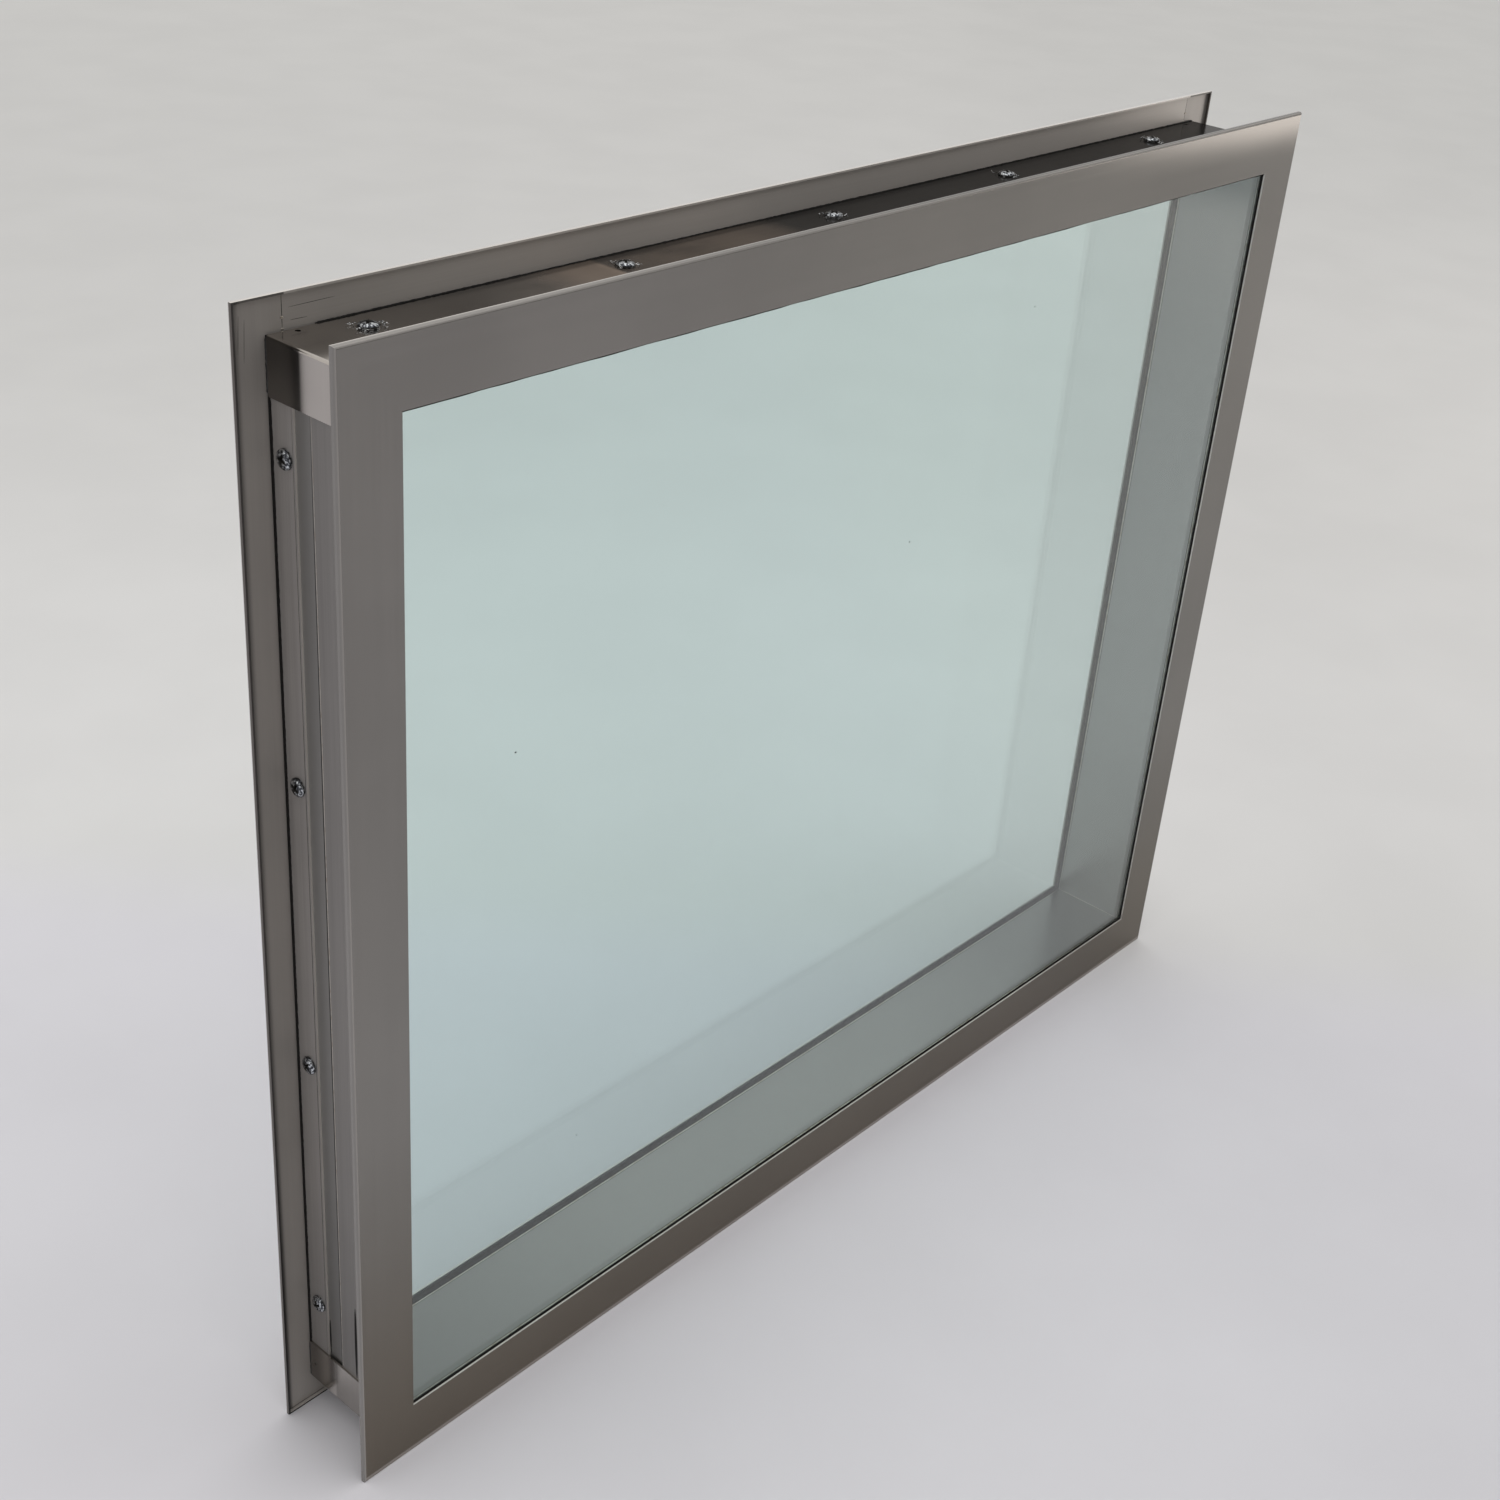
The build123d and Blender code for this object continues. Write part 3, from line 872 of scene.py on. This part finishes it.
@dataclass
class PanHeadScrew:
    """A self-tapping screw with a pan head, a cross recess and a threaded shank."""

    head_radius: float = 5.8 * MM
    head_height: float = 3.0 * MM
    rim_height: float = 0.7 * MM
    crown: float = 2.4
    shank_radius: float = 1.6 * MM
    thread_radius: float = 2.1 * MM
    thread_pitch: float = 1.3 * MM
    length: float = 13.0 * MM
    tip: float = 3.0 * MM
    recess_length: float = 6.8 * MM
    recess_width: float = 1.7 * MM
    recess_depth: float = 2.2 * MM
    recess_taper: float = 0.62
    around: int = 48

    def ring(self, radius: float, height: float) -> list[Vector]:
        """A level ring of points round the axis."""
        turns = [2 * math.pi * i / self.around for i in range(self.around)]
        return [Vector((radius * math.cos(a), radius * math.sin(a), height)) for a in turns]

    def dome(self, share: float) -> float:
        """Height of the dome at a share of the head's radius."""
        rise = (1 - share ** self.crown) ** (1 / self.crown)
        return self.rim_height + (self.head_height - self.rim_height) * rise

    def head(self) -> BMesh:
        """Shape the solid head.

        Returns:
            The head, its seat at Z = 0.
        """
        build = bmesh.new()
        rings = [self.ring(self.head_radius * 0.95, 0.0), self.ring(self.head_radius, 0.15 * MM)]
        steps = 12
        for i in range(steps + 1):
            share = math.cos(0.5 * math.pi * i / steps)
            rings.append(self.ring(max(self.head_radius * share, 0.02 * MM), self.dome(share)))
        skin(build, rings)
        return build

    def cutter(self) -> BMesh:
        """Shape the tapered cross that cuts the recess.

        Returns:
            The cutter, its foot at the bottom of the recess.
        """
        build = bmesh.new()
        floor = self.head_height - self.recess_depth
        for turn in (0.0, 0.5 * math.pi):
            spin = Matrix.Rotation(turn, 3, "Z")
            rings = []
            for height, grow in ((floor, self.recess_taper), (self.head_height + 0.6 * MM, 1.12)):
                x, y = 0.5 * self.recess_length * grow, 0.5 * self.recess_width * (0.5 + 0.5 * grow)
                corners = ((-x, -y), (x, -y), (x, y), (-x, y))
                rings.append([spin @ Vector((*corner, height)) for corner in corners])
            skin(build, rings)
        return build

    def recessed_head(self) -> bpy.types.Mesh:
        """Cut the cross out of the head.

        Returns:
            The mesh of the finished head.
        """
        shapes = []
        for name, build in (("screw_head", self.head()), ("screw_cutter", self.cutter())):
            bmesh.ops.recalc_face_normals(build, faces=build.faces)
            shapes.append(placed(name, meshed(name, build)))
        head, cutter = shapes
        cut = head.modifiers.new("recess", "BOOLEAN")
        cut.object, cut.operation, cut.solver, cut.use_self = cutter, "DIFFERENCE", "EXACT", True
        bpy.context.view_layer.update()
        mesh = bpy.data.meshes.new_from_object(head.evaluated_get(bpy.context.evaluated_depsgraph_get()))
        for shape in shapes:
            bpy.data.objects.remove(shape)
        return mesh

    def in_recess(self, centre: Vector) -> bool:
        """Tell whether the middle of a face of the head lies below the dome, in the recess."""
        share = min(1.0, math.hypot(centre.x, centre.y) / self.head_radius)
        return self.rim_height < centre.z < self.dome(share) - 0.12 * MM

    def shank(self, build: BMesh) -> None:
        """Add the threaded shank below the seat.

        Args:
            build: The bmesh to add to.
        """
        around, rows = 20, 64
        rings = []
        for row in range(rows + 1):
            depth = self.length * row / rows
            point = min(1.0, (self.length - depth) / self.tip + 0.04)
            ring = []
            for i in range(around):
                turn = i / around
                ridge = 1 - abs(2 * ((depth / self.thread_pitch + turn) % 1.0) - 1)
                radius = (self.shank_radius + (self.thread_radius - self.shank_radius) * ridge ** 2) * point
                angle = 2 * math.pi * turn
                ring.append(Vector((radius * math.cos(angle), radius * math.sin(angle), 0.2 * MM - depth)))
            rings.append(ring)
        skin(build, rings)

    def shape(self) -> bpy.types.Mesh:
        """Build the whole screw, its seat at the origin and its head up.

        Returns:
            The mesh.
        """
        build = bmesh.new()
        build.from_mesh(self.recessed_head())
        # the faces of the recess take the second material, which paints them in near-black shade
        for face in build.faces:
            face.material_index = int(self.in_recess(face.calc_center_median()))
        self.shank(build)
        return meshed("pan_head_screw", build)


@dataclass
class ScrewRow:
    """The screws along one side, each turned to where it happened to tighten."""

    side: Side
    seed: int
    dent: float = 0.10 * MM

    def seat(self) -> Vector:
        """Find the middle of the row, on the face of the sheet that the heads sit on.

        Returns:
            The place.
        """
        low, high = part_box(f"{self.side.value}_screws")
        middle = (low + high) / 2
        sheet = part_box(f"{self.side.value}_{'web' if self.side.is_rail else 'back_strip'}")
        axis = 2 if self.side.is_rail else 0
        middle[axis] = sheet[1 if self.side.outward[axis] > 0 else 0][axis]
        return middle

    def build(self, screw: bpy.types.Mesh) -> bpy.types.Object:
        """Set the screws in place of the plain ones.

        Args:
            screw: The mesh of one screw.

        Returns:
            The row as one piece.
        """
        pitch, count = (RAIL_PITCH, RAIL_SCREWS) if self.side.is_rail else (JAMB_PITCH, JAMB_SCREWS)
        turns = random.Random(self.seed)
        upright = self.side.outward.to_track_quat("Z", "Y").to_matrix().to_4x4()
        build = bmesh.new()
        for i in range(count):
            place = self.seat() + self.side.along * pitch * (i - (count - 1) / 2)
            spin = Matrix.Rotation(turns.uniform(0, 0.5 * math.pi), 4, "Z")
            copy = screw.copy()
            for vert in copy.vertices:
                if vert.co.z > 0.5 * MM:
                    vert.co += noise.noise_vector(vert.co * 900 + Vector((7 * i, 0, self.seed))) * self.dent
            copy.transform(Matrix.Translation(place) @ upright @ spin)
            build.from_mesh(copy)
            bpy.data.meshes.remove(copy)
        row = piece_from(f"{self.side.value}_screw_row", build, ZINC, 30.0)
        # second material: painted shade in the recesses
        row.data.materials.append(material_of(GRIME_AND_SHADE))
        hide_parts(f"{self.side.value}_screws")
        return row


@dataclass
class TrimFrames:
    """The two flat trim frames, their corner joints and the marks on them."""

    overlap: float = 20 * MM                       # how far a flange stands past the channel
    seam_width: float = 0.50 * MM
    bead_radius: float = 0.95 * MM
    beads: tuple[Pair, ...] = ((13.6 * MM, 1.0), (19.6 * MM, 0.8))    # inset and relative size
    scratch_width: float = 0.30 * MM
    scratched: tuple[tuple[Pair, Pair], ...] = (   # ends of each scratch, as X and Z
        ((-0.4150, 0.7409), (-0.3862, 0.7412)), ((-0.4141, 0.7342), (-0.4038, 0.7340)),
        ((-0.4412, 0.7393), (-0.4424, 0.7174)), ((-0.4445, 0.7420), (-0.4457, 0.7226)),
    )

    def dress_flanges(self) -> None:
        """Finish all eight flanges with a grain along each."""
        for side in Side:
            dress(f"front_flange_{side.value}", RAIL_STEEL if side.is_rail else JAMB_STEEL)
            dress(f"back_flange_{side.value}", RAIL_STEEL if side.is_rail else BACK_JAMB_STEEL)
        dress("front_flange_head", FRONT_HEAD_STEEL)
        dress("front_flange_right", FRONT_RIGHT_STEEL)
        dress("back_flange_head", BACK_HEAD_STEEL)

    def corners(self) -> list[tuple[float, float, int]]:
        """X and Z of the back frame's four butt joints, and the way inwards along Z."""
        low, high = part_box("back_flange_head")
        return [(x, z, inwards) for x in (low.x, high.x) for z, inwards in ((high.z, -1), (0.0, 1))]

    def corner_seams(self) -> None:
        """Draw the butt joints of the back frame's corners on both faces of the sheet."""
        low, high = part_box("back_flange_head")
        build = bmesh.new()
        for x, z, inwards in self.corners():
            for y, start, end, way in (
                (high.y - SHEET, SHEET, self.overlap, -1), (high.y, 2 * SHEET, high.z - low.z, 1)
            ):
                ends = [Vector((x, y, z + inwards * inset)) for inset in (start, end)]
                sliver(build, *ends, self.seam_width, Vector((0, way, 0)))
        piece_from("back_corner_seams", build, GRIME_AND_SHADE)

    def weld_beads(self) -> None:
        """Tack the butt joints with small beads on the wall side."""
        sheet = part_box("back_flange_head")[1].y - SHEET
        build = bmesh.new()
        for x, z, inwards in self.corners():
            for inset, grow in self.beads:
                size = self.bead_radius * grow
                flat = Matrix.Diagonal((size, 0.45 * size, 0.85 * size, 1.0))
                place = Matrix.Translation(Vector((x, sheet, z + inwards * inset)))
                bmesh.ops.create_icosphere(build, subdivisions=3, radius=1.0, matrix=place @ flat)
        for vert in build.verts:
            vert.co += noise.noise_vector(vert.co * 900) * 0.12 * MM
        piece_from("back_corner_tacks", build, WELD_AND_HIGHLIGHT)

    def scratches(self) -> None:
        """Scratch the wall side of the back frame beside its upper left corner."""
        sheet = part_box("back_flange_head")[1].y - SHEET
        build = bmesh.new()
        for scratch in self.scratched:
            ends = [Vector((x, sheet, z)) for x, z in scratch]
            sliver(build, *ends, self.scratch_width, Vector((0, -1, 0)))
        piece_from("back_flange_scratches", build, GRIME_AND_SHADE)

    def build(self) -> None:
        """Dress the frames and add their marks."""
        self.dress_flanges()
        self.corner_seams()
        self.weld_beads()
        self.scratches()


@dataclass
class WallChannel:
    """The channel round the window that takes the wall panel."""

    bead_radius: float = 0.8 * MM        # of sealant, and of tape that bulges out
    bead_step: float = 1.6 * MM
    tab: float = 33 * MM                 # from the end of a web to the end of its tab
    # width of the painted highlight on the arris of a front strip
    arris_highlight_width: float = 0.5 * MM
    chip_width: float = 0.28 * MM
    chip_thickness: float = 0.08 * MM

    def dress_channel(self) -> None:
        """Finish the webs and the cover strips."""
        dress("head_web", HEAD_WEB_STEEL)
        dress("sill_web", SILL_WEB_STEEL)
        for side in ("left", "right"):
            dress(f"{side}_front_strip", FRONT_STRIP_STEEL)
            dress(f"{side}_back_strip", BACK_STRIP_STEEL)

    def bead(self, build: BMesh, start: Vector, end: Vector) -> None:
        """Squeeze an uneven bead along a gap.

        Args:
            build: The bmesh to add to.
            start: One end of the gap.
            end: The other end.
        """
        steps = max(3, round((end - start).length / self.bead_step))
        along = (end - start).normalized()
        side = along.orthogonal().normalized()
        rings = []
        for i in range(steps + 1):
            centre = start.lerp(end, i / steps)
            end_share = min(1.0, 0.3 + min(i, steps - i))
            ring = []
            for j in range(10):
                out = Matrix.Rotation(2 * math.pi * j / 10, 3, along) @ side * self.bead_radius
                ring.append(centre + out * (1 + 0.35 * noise.noise((centre + out) * 700)) * end_share)
            rings.append(ring)
        skin(build, rings)

    def seal_tabs(self) -> None:
        """Seal the gap between each end tab and the back frame."""
        build = bmesh.new()
        for rail in ("head", "sill"):
            low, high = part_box(f"{rail}_web")
            depth = (high.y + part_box(f"back_tape_{rail}")[1].y) / 2
            for x in (low.x + 0.5 * SHEET, high.x - 0.5 * SHEET):
                self.bead(build, Vector((x, depth, low.z + MM)), Vector((x, depth, high.z - MM)))
        piece_from("tab_sealant", build, SEALANT)

    def foam_beads(self) -> None:
        """Let the back tape bulge a little out of the gap along each side."""
        build = bmesh.new()
        low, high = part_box("sill_web")[0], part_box("head_web")[1]
        depth = high.y + 0.4 * self.bead_radius
        inset = 0.15 * MM
        foot, head = low.z + inset, high.z - inset
        left, right = low.x + inset, high.x - inset
        for start, end in (
            ((left + 30 * MM, head), (right, head)),
            ((left + 30 * MM, foot), (right, foot)),
            ((left + SHEET, foot + self.tab), (left + SHEET, head - self.tab)),
            ((right - SHEET, foot + self.tab), (right - SHEET, head - self.tab)),
        ):
            self.bead(build, *(Vector((x, depth, z)) for x, z in (start, end)))
        piece_from("back_tape_bulge", build, TAPE_AND_GAP_SHADOW)

    def strip_painted_lines(self) -> None:
        """Paint shadow lines into the joints beside the free edges of the cover strips and into the gaps at
        their feet, and a highlight on the arris of each front strip.
        """
        foot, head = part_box("sill_web")[0].z + self.tab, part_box("head_web")[1].z - self.tab
        dark, shine = bmesh.new(), bmesh.new()
        for side in (Side.LEFT, Side.RIGHT):
            outer = 1 if side is Side.RIGHT else 0
            spacer, front, rear = (
                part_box(name) for name in
                (f"spacer_{side.value}", f"{side.value}_front_strip", f"{side.value}_back_strip")
            )
            # painted shadow lines in the joints and gaps, and a painted highlight on the arris of each front
            # strip
            for build, x, y, top, width in (
                (dark, spacer[outer].x, front[1].y + 2.05 * MM, head, 0.80 * MM),
                (dark, rear[outer].x, rear[0].y + 1.35 * MM, head, 0.50 * MM),
                (dark, spacer[outer].x, rear[0].y - 1.00 * MM, foot + 30 * MM, 2.00 * MM),
                (dark, front[outer].x, -8.1 * MM, foot + 60 * MM, 2.80 * MM),
                (shine, front[outer].x, front[1].y - 0.55 * MM, head, self.arris_highlight_width),
            ):
                sliver(build, Vector((x, y, foot)), Vector((x, y, top)), width, side.outward)
        piece_from("strip_arris_highlight", shine, WELD_AND_HIGHLIGHT)
        piece_from("strip_painted_lines", dark, TAPE_AND_GAP_SHADOW)

    def curl(self, build: BMesh, start: Vector, along: Vector, turns: float, radius: float) -> None:
        """Add one springy curl of cut metal.

        Args:
            build: The bmesh to add to.
            start: Where the curl begins.
            along: The way it runs and how far.
            turns: How many times it winds.
            radius: Its radius where it begins.
        """
        way = along.normalized()
        side = way.orthogonal().normalized()
        steps = max(6, round(turns * 12))
        centres = []
        for i in range(steps + 1):
            spin = Matrix.Rotation(2 * math.pi * turns * i / steps, 3, way)
            centres.append(start + along * (i / steps) + spin @ side * radius * (1 - 0.4 * i / steps))
        rings = []
        for i, centre in enumerate(centres):
            ahead = (centres[min(i + 1, steps)] - centres[max(i - 1, 0)]).normalized()
            broad = way * self.chip_width
            thin = ahead.cross(way).normalized() * self.chip_thickness
            rings.append([centre + broad * b + thin * t for b, t in ((-1, -1), (1, -1), (1, 1), (-1, 1))])
        skin(build, rings)

    def swarf(self) -> None:
        """Leave curls of swarf round the screws of the head."""
        low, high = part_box("head_screws")
        middle = (low + high) / 2
        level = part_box("head_web")[1].z
        scatter = random.Random(23)
        build = bmesh.new()
        for i in range(RAIL_SCREWS):
            screw = Vector((middle.x + RAIL_PITCH * (i - RAIL_SCREWS // 2), middle.y, level))
            for _ in range(7 if i < 2 else 4):
                turn = scatter.uniform(0, 2 * math.pi)
                out = Vector((math.cos(turn), math.sin(turn), 0))
                radius = scatter.uniform(0.5, 0.95) * MM
                start = screw + out * scatter.uniform(6.2, 7.6) * MM + Vector((0, 0, radius + 0.25 * MM))
                twist = Matrix.Rotation(scatter.uniform(-1.4, 1.4), 3, "Z")
                along = twist @ out * scatter.uniform(2.0, 5.0) * MM
                self.curl(build, start, along, scatter.uniform(0.8, 2.2), radius)
        piece_from("swarf_curls", build, CHIP)

    def build(self) -> None:
        """Dress the channel, seal its gaps and mark its joints."""
        self.dress_channel()
        self.seal_tabs()
        self.foam_beads()
        self.strip_painted_lines()
        self.swarf()


@dataclass
class Glazing:
    """The two panes, the spacer between them and the tape that seats them."""

    gap: float = 0.2 * MM                # between a mark and the pane
    bulge: float = 0.9 * MM
    mitre_width: float = 0.5 * MM
    folds: tuple[Pair, ...] = ((1.3 * MM, 1.0 * MM), (2.2 * MM, 0.5 * MM))    # inset and width, of the painted highlight and of the painted shade
    specks: tuple[Colour, ...] = (       # X and Z in metres, and size in millimetres
        (-0.27, 0.18, 0.7), (-0.16, 0.36, 0.6), (0.02, 0.52, 0.8), (0.21, 0.30, 0.6), (-0.33, 0.49, 0.9),
        (0.30, 0.58, 0.5), (-0.05, 0.13, 0.6), (0.13, 0.66, 0.7), (-0.22, 0.61, 0.5), (0.36, 0.21, 0.6),
    )

    def dress_unit(self) -> None:
        """Finish the panes, spacers and tapes."""
        for side in Side:
            dress(f"spacer_{side.value}", SPACER_RAIL_STEEL if side.is_rail else SPACER_JAMB_STEEL)
        for face in Face:
            dress(f"{face.value}_pane", GLASS)
            for side in Side:
                dress(f"{face.value}_tape_{side.value}", TAPE_AND_GAP_SHADOW)

    def dust(self) -> None:
        """Drop a few specks of dust on the front pane."""
        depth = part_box("front_pane")[0].y
        build = bmesh.new()
        for x, z, size in self.specks:
            flat = Matrix.Diagonal((size * MM, 0.12 * MM, 0.7 * size * MM, 1.0))
            place = Matrix.Translation(Vector((x, depth, z)))
            bmesh.ops.create_icosphere(build, subdivisions=2, radius=0.8, matrix=place @ flat)
        piece_from("pane_dust", build, GRIME_AND_SHADE)

    def tape_bulge(self) -> None:
        """Let the front tape bulge into the opening, against the glass."""
        left, right, sill, head = (
            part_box(f"front_flange_{side}") for side in ("left", "right", "sill", "head")
        )
        thick = 0.55 * self.bulge
        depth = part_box("front_pane")[0].y - thick
        turns = [2 * math.pi * j / 8 for j in range(8)]
        steps = 160
        build = bmesh.new()
        for (x, z), (to_x, to_z) in sides_between(left[1].x, right[0].x, sill[1].z, head[0].z):
            start, end = Vector((x, depth, z)), Vector((to_x, depth, to_z))
            side = (end - start).normalized().cross(Vector((0, 1, 0)))
            bulge = self.bulge * (1.0 if x == to_x else 1.7)
            rings = []
            for i in range(steps + 1):
                centre = start.lerp(end, i / steps)
                size = bulge * (1 + 0.25 * noise.noise(centre * 60))
                rings.append([
                    centre + side * size * math.cos(a) + Vector((0, thick * math.sin(a), 0)) for a in turns
                ])
            skin(build, rings)
        piece_from("front_tape_bulge", build, TAPE_AND_GAP_SHADOW)

    def spacer_marks(self) -> None:
        """Run a fine weld along each mitre of the spacer, and beside each pane a painted highlight and a
        painted shade line along the spacer's fold.
        """
        front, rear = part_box("front_pane")[1].y + self.gap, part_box("back_pane")[0].y - self.gap
        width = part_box("spacer_right")[0].x
        foot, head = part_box("spacer_sill")[1].z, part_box("spacer_head")[0].z
        middle = 0.5 * (foot + head)
        pale, dark = bmesh.new(), bmesh.new()
        for (x, z), (to_x, to_z) in sides_between(-width, width, foot, head):
            level, aside = math.copysign(1, middle - z), math.copysign(1, -x)
            inward = Vector((aside, 0, level)).normalized()
            place = Vector((x, 0, z)) + inward * 0.15 * MM
            sliver(pale, *(Vector((place.x, y, place.z)) for y in (front, rear)), self.mitre_width, inward)
            inward = Vector((aside, 0, 0)) if x == to_x else Vector((0, 0, level))
            # beside each pane, a painted highlight and a painted shade line along the spacer's fold
            for build, (inset, broad) in zip((pale, dark), self.folds):
                for y in (rear - inset, front + inset):
                    sliver(build, Vector((x, y, z)), Vector((to_x, y, to_z)), broad, inward)
        piece_from("spacer_marks", pale, WELD_AND_HIGHLIGHT)
        piece_from("spacer_fold_shades", dark, GRIME_AND_SHADE)

    def build(self) -> None:
        """Dress the glazing, mark the spacer and dust the glass."""
        self.dress_unit()
        self.tape_bulge()
        self.spacer_marks()
        self.dust()


@dataclass(frozen=True)
class FloorPaint:
    """Pale seamless floor whose tone drifts slowly with distance."""

    name: str
    heading: float                               # radians from +Y towards +X
    stops: tuple[tuple[float, Colour], ...]      # distance and tone
    near: float
    far: float
    right_shares: Pair = (0.88, 0.965)           # of the tone, near and far

    def paint(self, graph: Graph) -> None:
        """Fill the node tree of the material."""
        inputs = {"Vector": graph.place, "Angle": self.heading}
        turned = graph.add("ShaderNodeVectorRotate", inputs, rotation_type="Z_AXIS")
        aside, reach, _ = graph.split(turned.outputs[0])
        share = graph.add("ShaderNodeMapRange", {"Value": reach, "From Min": self.near, "From Max": self.far})
        node = graph.add("ShaderNodeValToRGB", {0: share.outputs[0]})
        ramp = node.color_ramp
        ramp.interpolation = "EASE"
        while len(ramp.elements) < len(self.stops):
            ramp.elements.new(0.5)
        for element, (position, colour) in zip(ramp.elements, self.stops):
            element.position = (position - self.near) / (self.far - self.near)
            element.color = (*colour, 1.0)
        mottle = graph.span(graph.noise(graph.place, 5.0, 3.0), 0.3, 0.7, 0.985, 1.015)
        along = graph.span(reach, 0.2, 2.0, *self.right_shares)
        right = graph.slide(graph.rise(aside, 0.15, 0.6), 1.0, along)
        colour = graph.shaded(node.outputs[0], graph.times(mottle, right))
        graph.surface(graph.principled(Base_Color=colour, Roughness=0.7, Specular_IOR_Level=0.15))


@dataclass(frozen=True)
class SoftLamp:
    """One lamp of the studio."""

    name: str
    place: Colour
    target: Colour
    size: Pair                           # its width and height
    level: float                         # how bright its face looks, where 1 is white
    colour: Colour = (1.0, 1.0, 1.0)
    soft: bool = False                   # whether it fades towards its edges

    def build(self) -> None:
        """Hang the lamp."""
        data = bpy.data.lights.new(self.name, "AREA")
        data.shape = "RECTANGLE"
        data.size, data.size_y = self.size
        data.energy = self.level * math.pi * self.size[0] * self.size[1]
        data.color = self.colour
        data.use_nodes = True
        graph = Graph(data.node_tree)
        corners = graph.split(graph.add("ShaderNodeNewGeometry").outputs["Parametric"])[:2]
        sides = [graph.math("ABSOLUTE", graph.math("SUBTRACT", corner, 0.5)) for corner in corners]
        fade = graph.times(*(graph.fall(side, 0.2, 0.5) for side in sides))
        glow = graph.add("ShaderNodeEmission", {"Strength": fade if self.soft else 1.0})
        graph.add("ShaderNodeOutputLight", {"Surface": glow.outputs[0]})
        lamp = placed(self.name, data)
        lamp.location = self.place
        lamp.rotation_euler = (Vector(self.target) - Vector(self.place)).to_track_quat("-Z", "Y").to_euler()
        lamp.visible_camera = False


@dataclass
class Studio:
    """Pale floor, soft lamps, the world and the camera."""

    camera_place: Colour = (-1.0183, -0.7836, 1.0737)
    yaw: float = 50.109          # degrees from +Y towards +X
    pitch: float = -29.526
    roll: float = 4.730
    lens: float = 49.98
    floor_half: float = 30.0
    floor_stops: tuple[tuple[float, Colour], ...] = (
        (-0.60, (0.675, 0.665, 0.695)), (0.18, (0.70, 0.69, 0.725)), (0.36, (0.71, 0.705, 0.70)),
        (1.70, (0.64, 0.635, 0.625)), (5.00, (0.66, 0.655, 0.64)),
    )
    lamps: tuple[SoftLamp, ...] = (
        SoftLamp("overhead", (0.1, -0.5, 2.7), (0.0, 0.0, 0.4), (2.4, 2.4), 0.8),
        SoftLamp(
            "front_right", (3.15, -1.10, 0.70), (0.3, 0.0, 0.70), (2.3, 1.1), 3.4, (1.0, 0.93, 0.87), True
        ),
    )
    world_light: float = 0.85
    front_gloss: float = 0.16    # what metal mirrors from the dim side of the room, behind the camera
    world_seen: Colour = (0.60, 0.60, 0.595)

    def aim(self) -> Matrix:
        """Turn the camera's angles into its matrix.

        Returns:
            The camera's world matrix.
        """
        yaw, pitch, roll = (math.radians(a) for a in (self.yaw, self.pitch, self.roll))
        view = Vector((math.sin(yaw) * math.cos(pitch), math.cos(yaw) * math.cos(pitch), math.sin(pitch)))
        level = view.cross(Vector((0, 0, 1))).normalized()
        upright = level.cross(view)
        right = level * math.cos(roll) + upright * math.sin(roll)
        up = upright * math.cos(roll) - level * math.sin(roll)
        turn = Matrix((right, up, -view)).transposed().to_4x4()
        return Matrix.Translation(Vector(self.camera_place)) @ turn

    def camera(self) -> None:
        """Stand the camera where the photograph was taken from."""
        data = bpy.data.cameras.new("camera")
        data.lens = self.lens
        data.sensor_width = 36.0
        data.clip_start, data.clip_end = 0.01, 200.0
        camera = placed("camera", data)
        camera.matrix_world = self.aim()
        bpy.context.scene.camera = camera

    def floor(self) -> None:
        """Lay the floor."""
        build = bmesh.new()
        bmesh.ops.create_grid(build, x_segments=1, y_segments=1, size=self.floor_half)
        floor = placed("studio_floor", meshed("studio_floor", build))
        paint = FloorPaint("floor_paint", math.radians(self.yaw), self.floor_stops, -0.8, 5.2)
        floor.data.materials.append(material_of(paint))

    def world(self) -> None:
        """Light the room evenly, and show a pale backdrop to the camera."""
        world = bpy.data.worlds.new("studio")
        world.use_nodes = True
        bpy.context.scene.world = world
        graph = Graph(world.node_tree)
        depthways = graph.split(graph.add("ShaderNodeTexCoord").outputs["Generated"])[1]
        dimming = graph.span(depthways, -0.35, 0.2, self.front_gloss, self.world_light)
        lit, mirrored, seen = (
            graph.add("ShaderNodeBackground", {"Color": colour, "Strength": strength}).outputs[0]
            for colour, strength in (
                ((1.0, 0.995, 0.985), self.world_light), ((1.0, 0.98, 0.95), dimming), (self.world_seen, 1.0)
            )
        )
        glossy = graph.mixed(graph.ray("Is Glossy Ray"), lit, mirrored)
        shown = graph.mixed(graph.ray("Is Camera Ray"), glossy, seen)
        graph.add("ShaderNodeOutputWorld", {"Surface": shown})

    def build(self) -> None:
        """Set up the whole studio."""
        self.floor()
        self.world()
        for lamp in self.lamps:
            lamp.build()
        self.camera()
        bpy.context.scene.view_settings.view_transform = "Standard"


def main() -> None:
    """Dress the window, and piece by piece."""
    logging.basicConfig(level=logging.INFO, format="%(name)s: %(message)s", stream=sys.stdout)
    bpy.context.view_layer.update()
    noise.seed_set(NOISE_SEED)
    TrimFrames().build()
    WallChannel().build()
    Glazing().build()
    screw = PanHeadScrew().shape()
    for seed, side in enumerate(Side, 11):
        ScrewRow(side, seed).build(screw)
    Studio().build()
    log.info("the studio stands and the sizes are written")


if __name__ == "__main__":
    main()
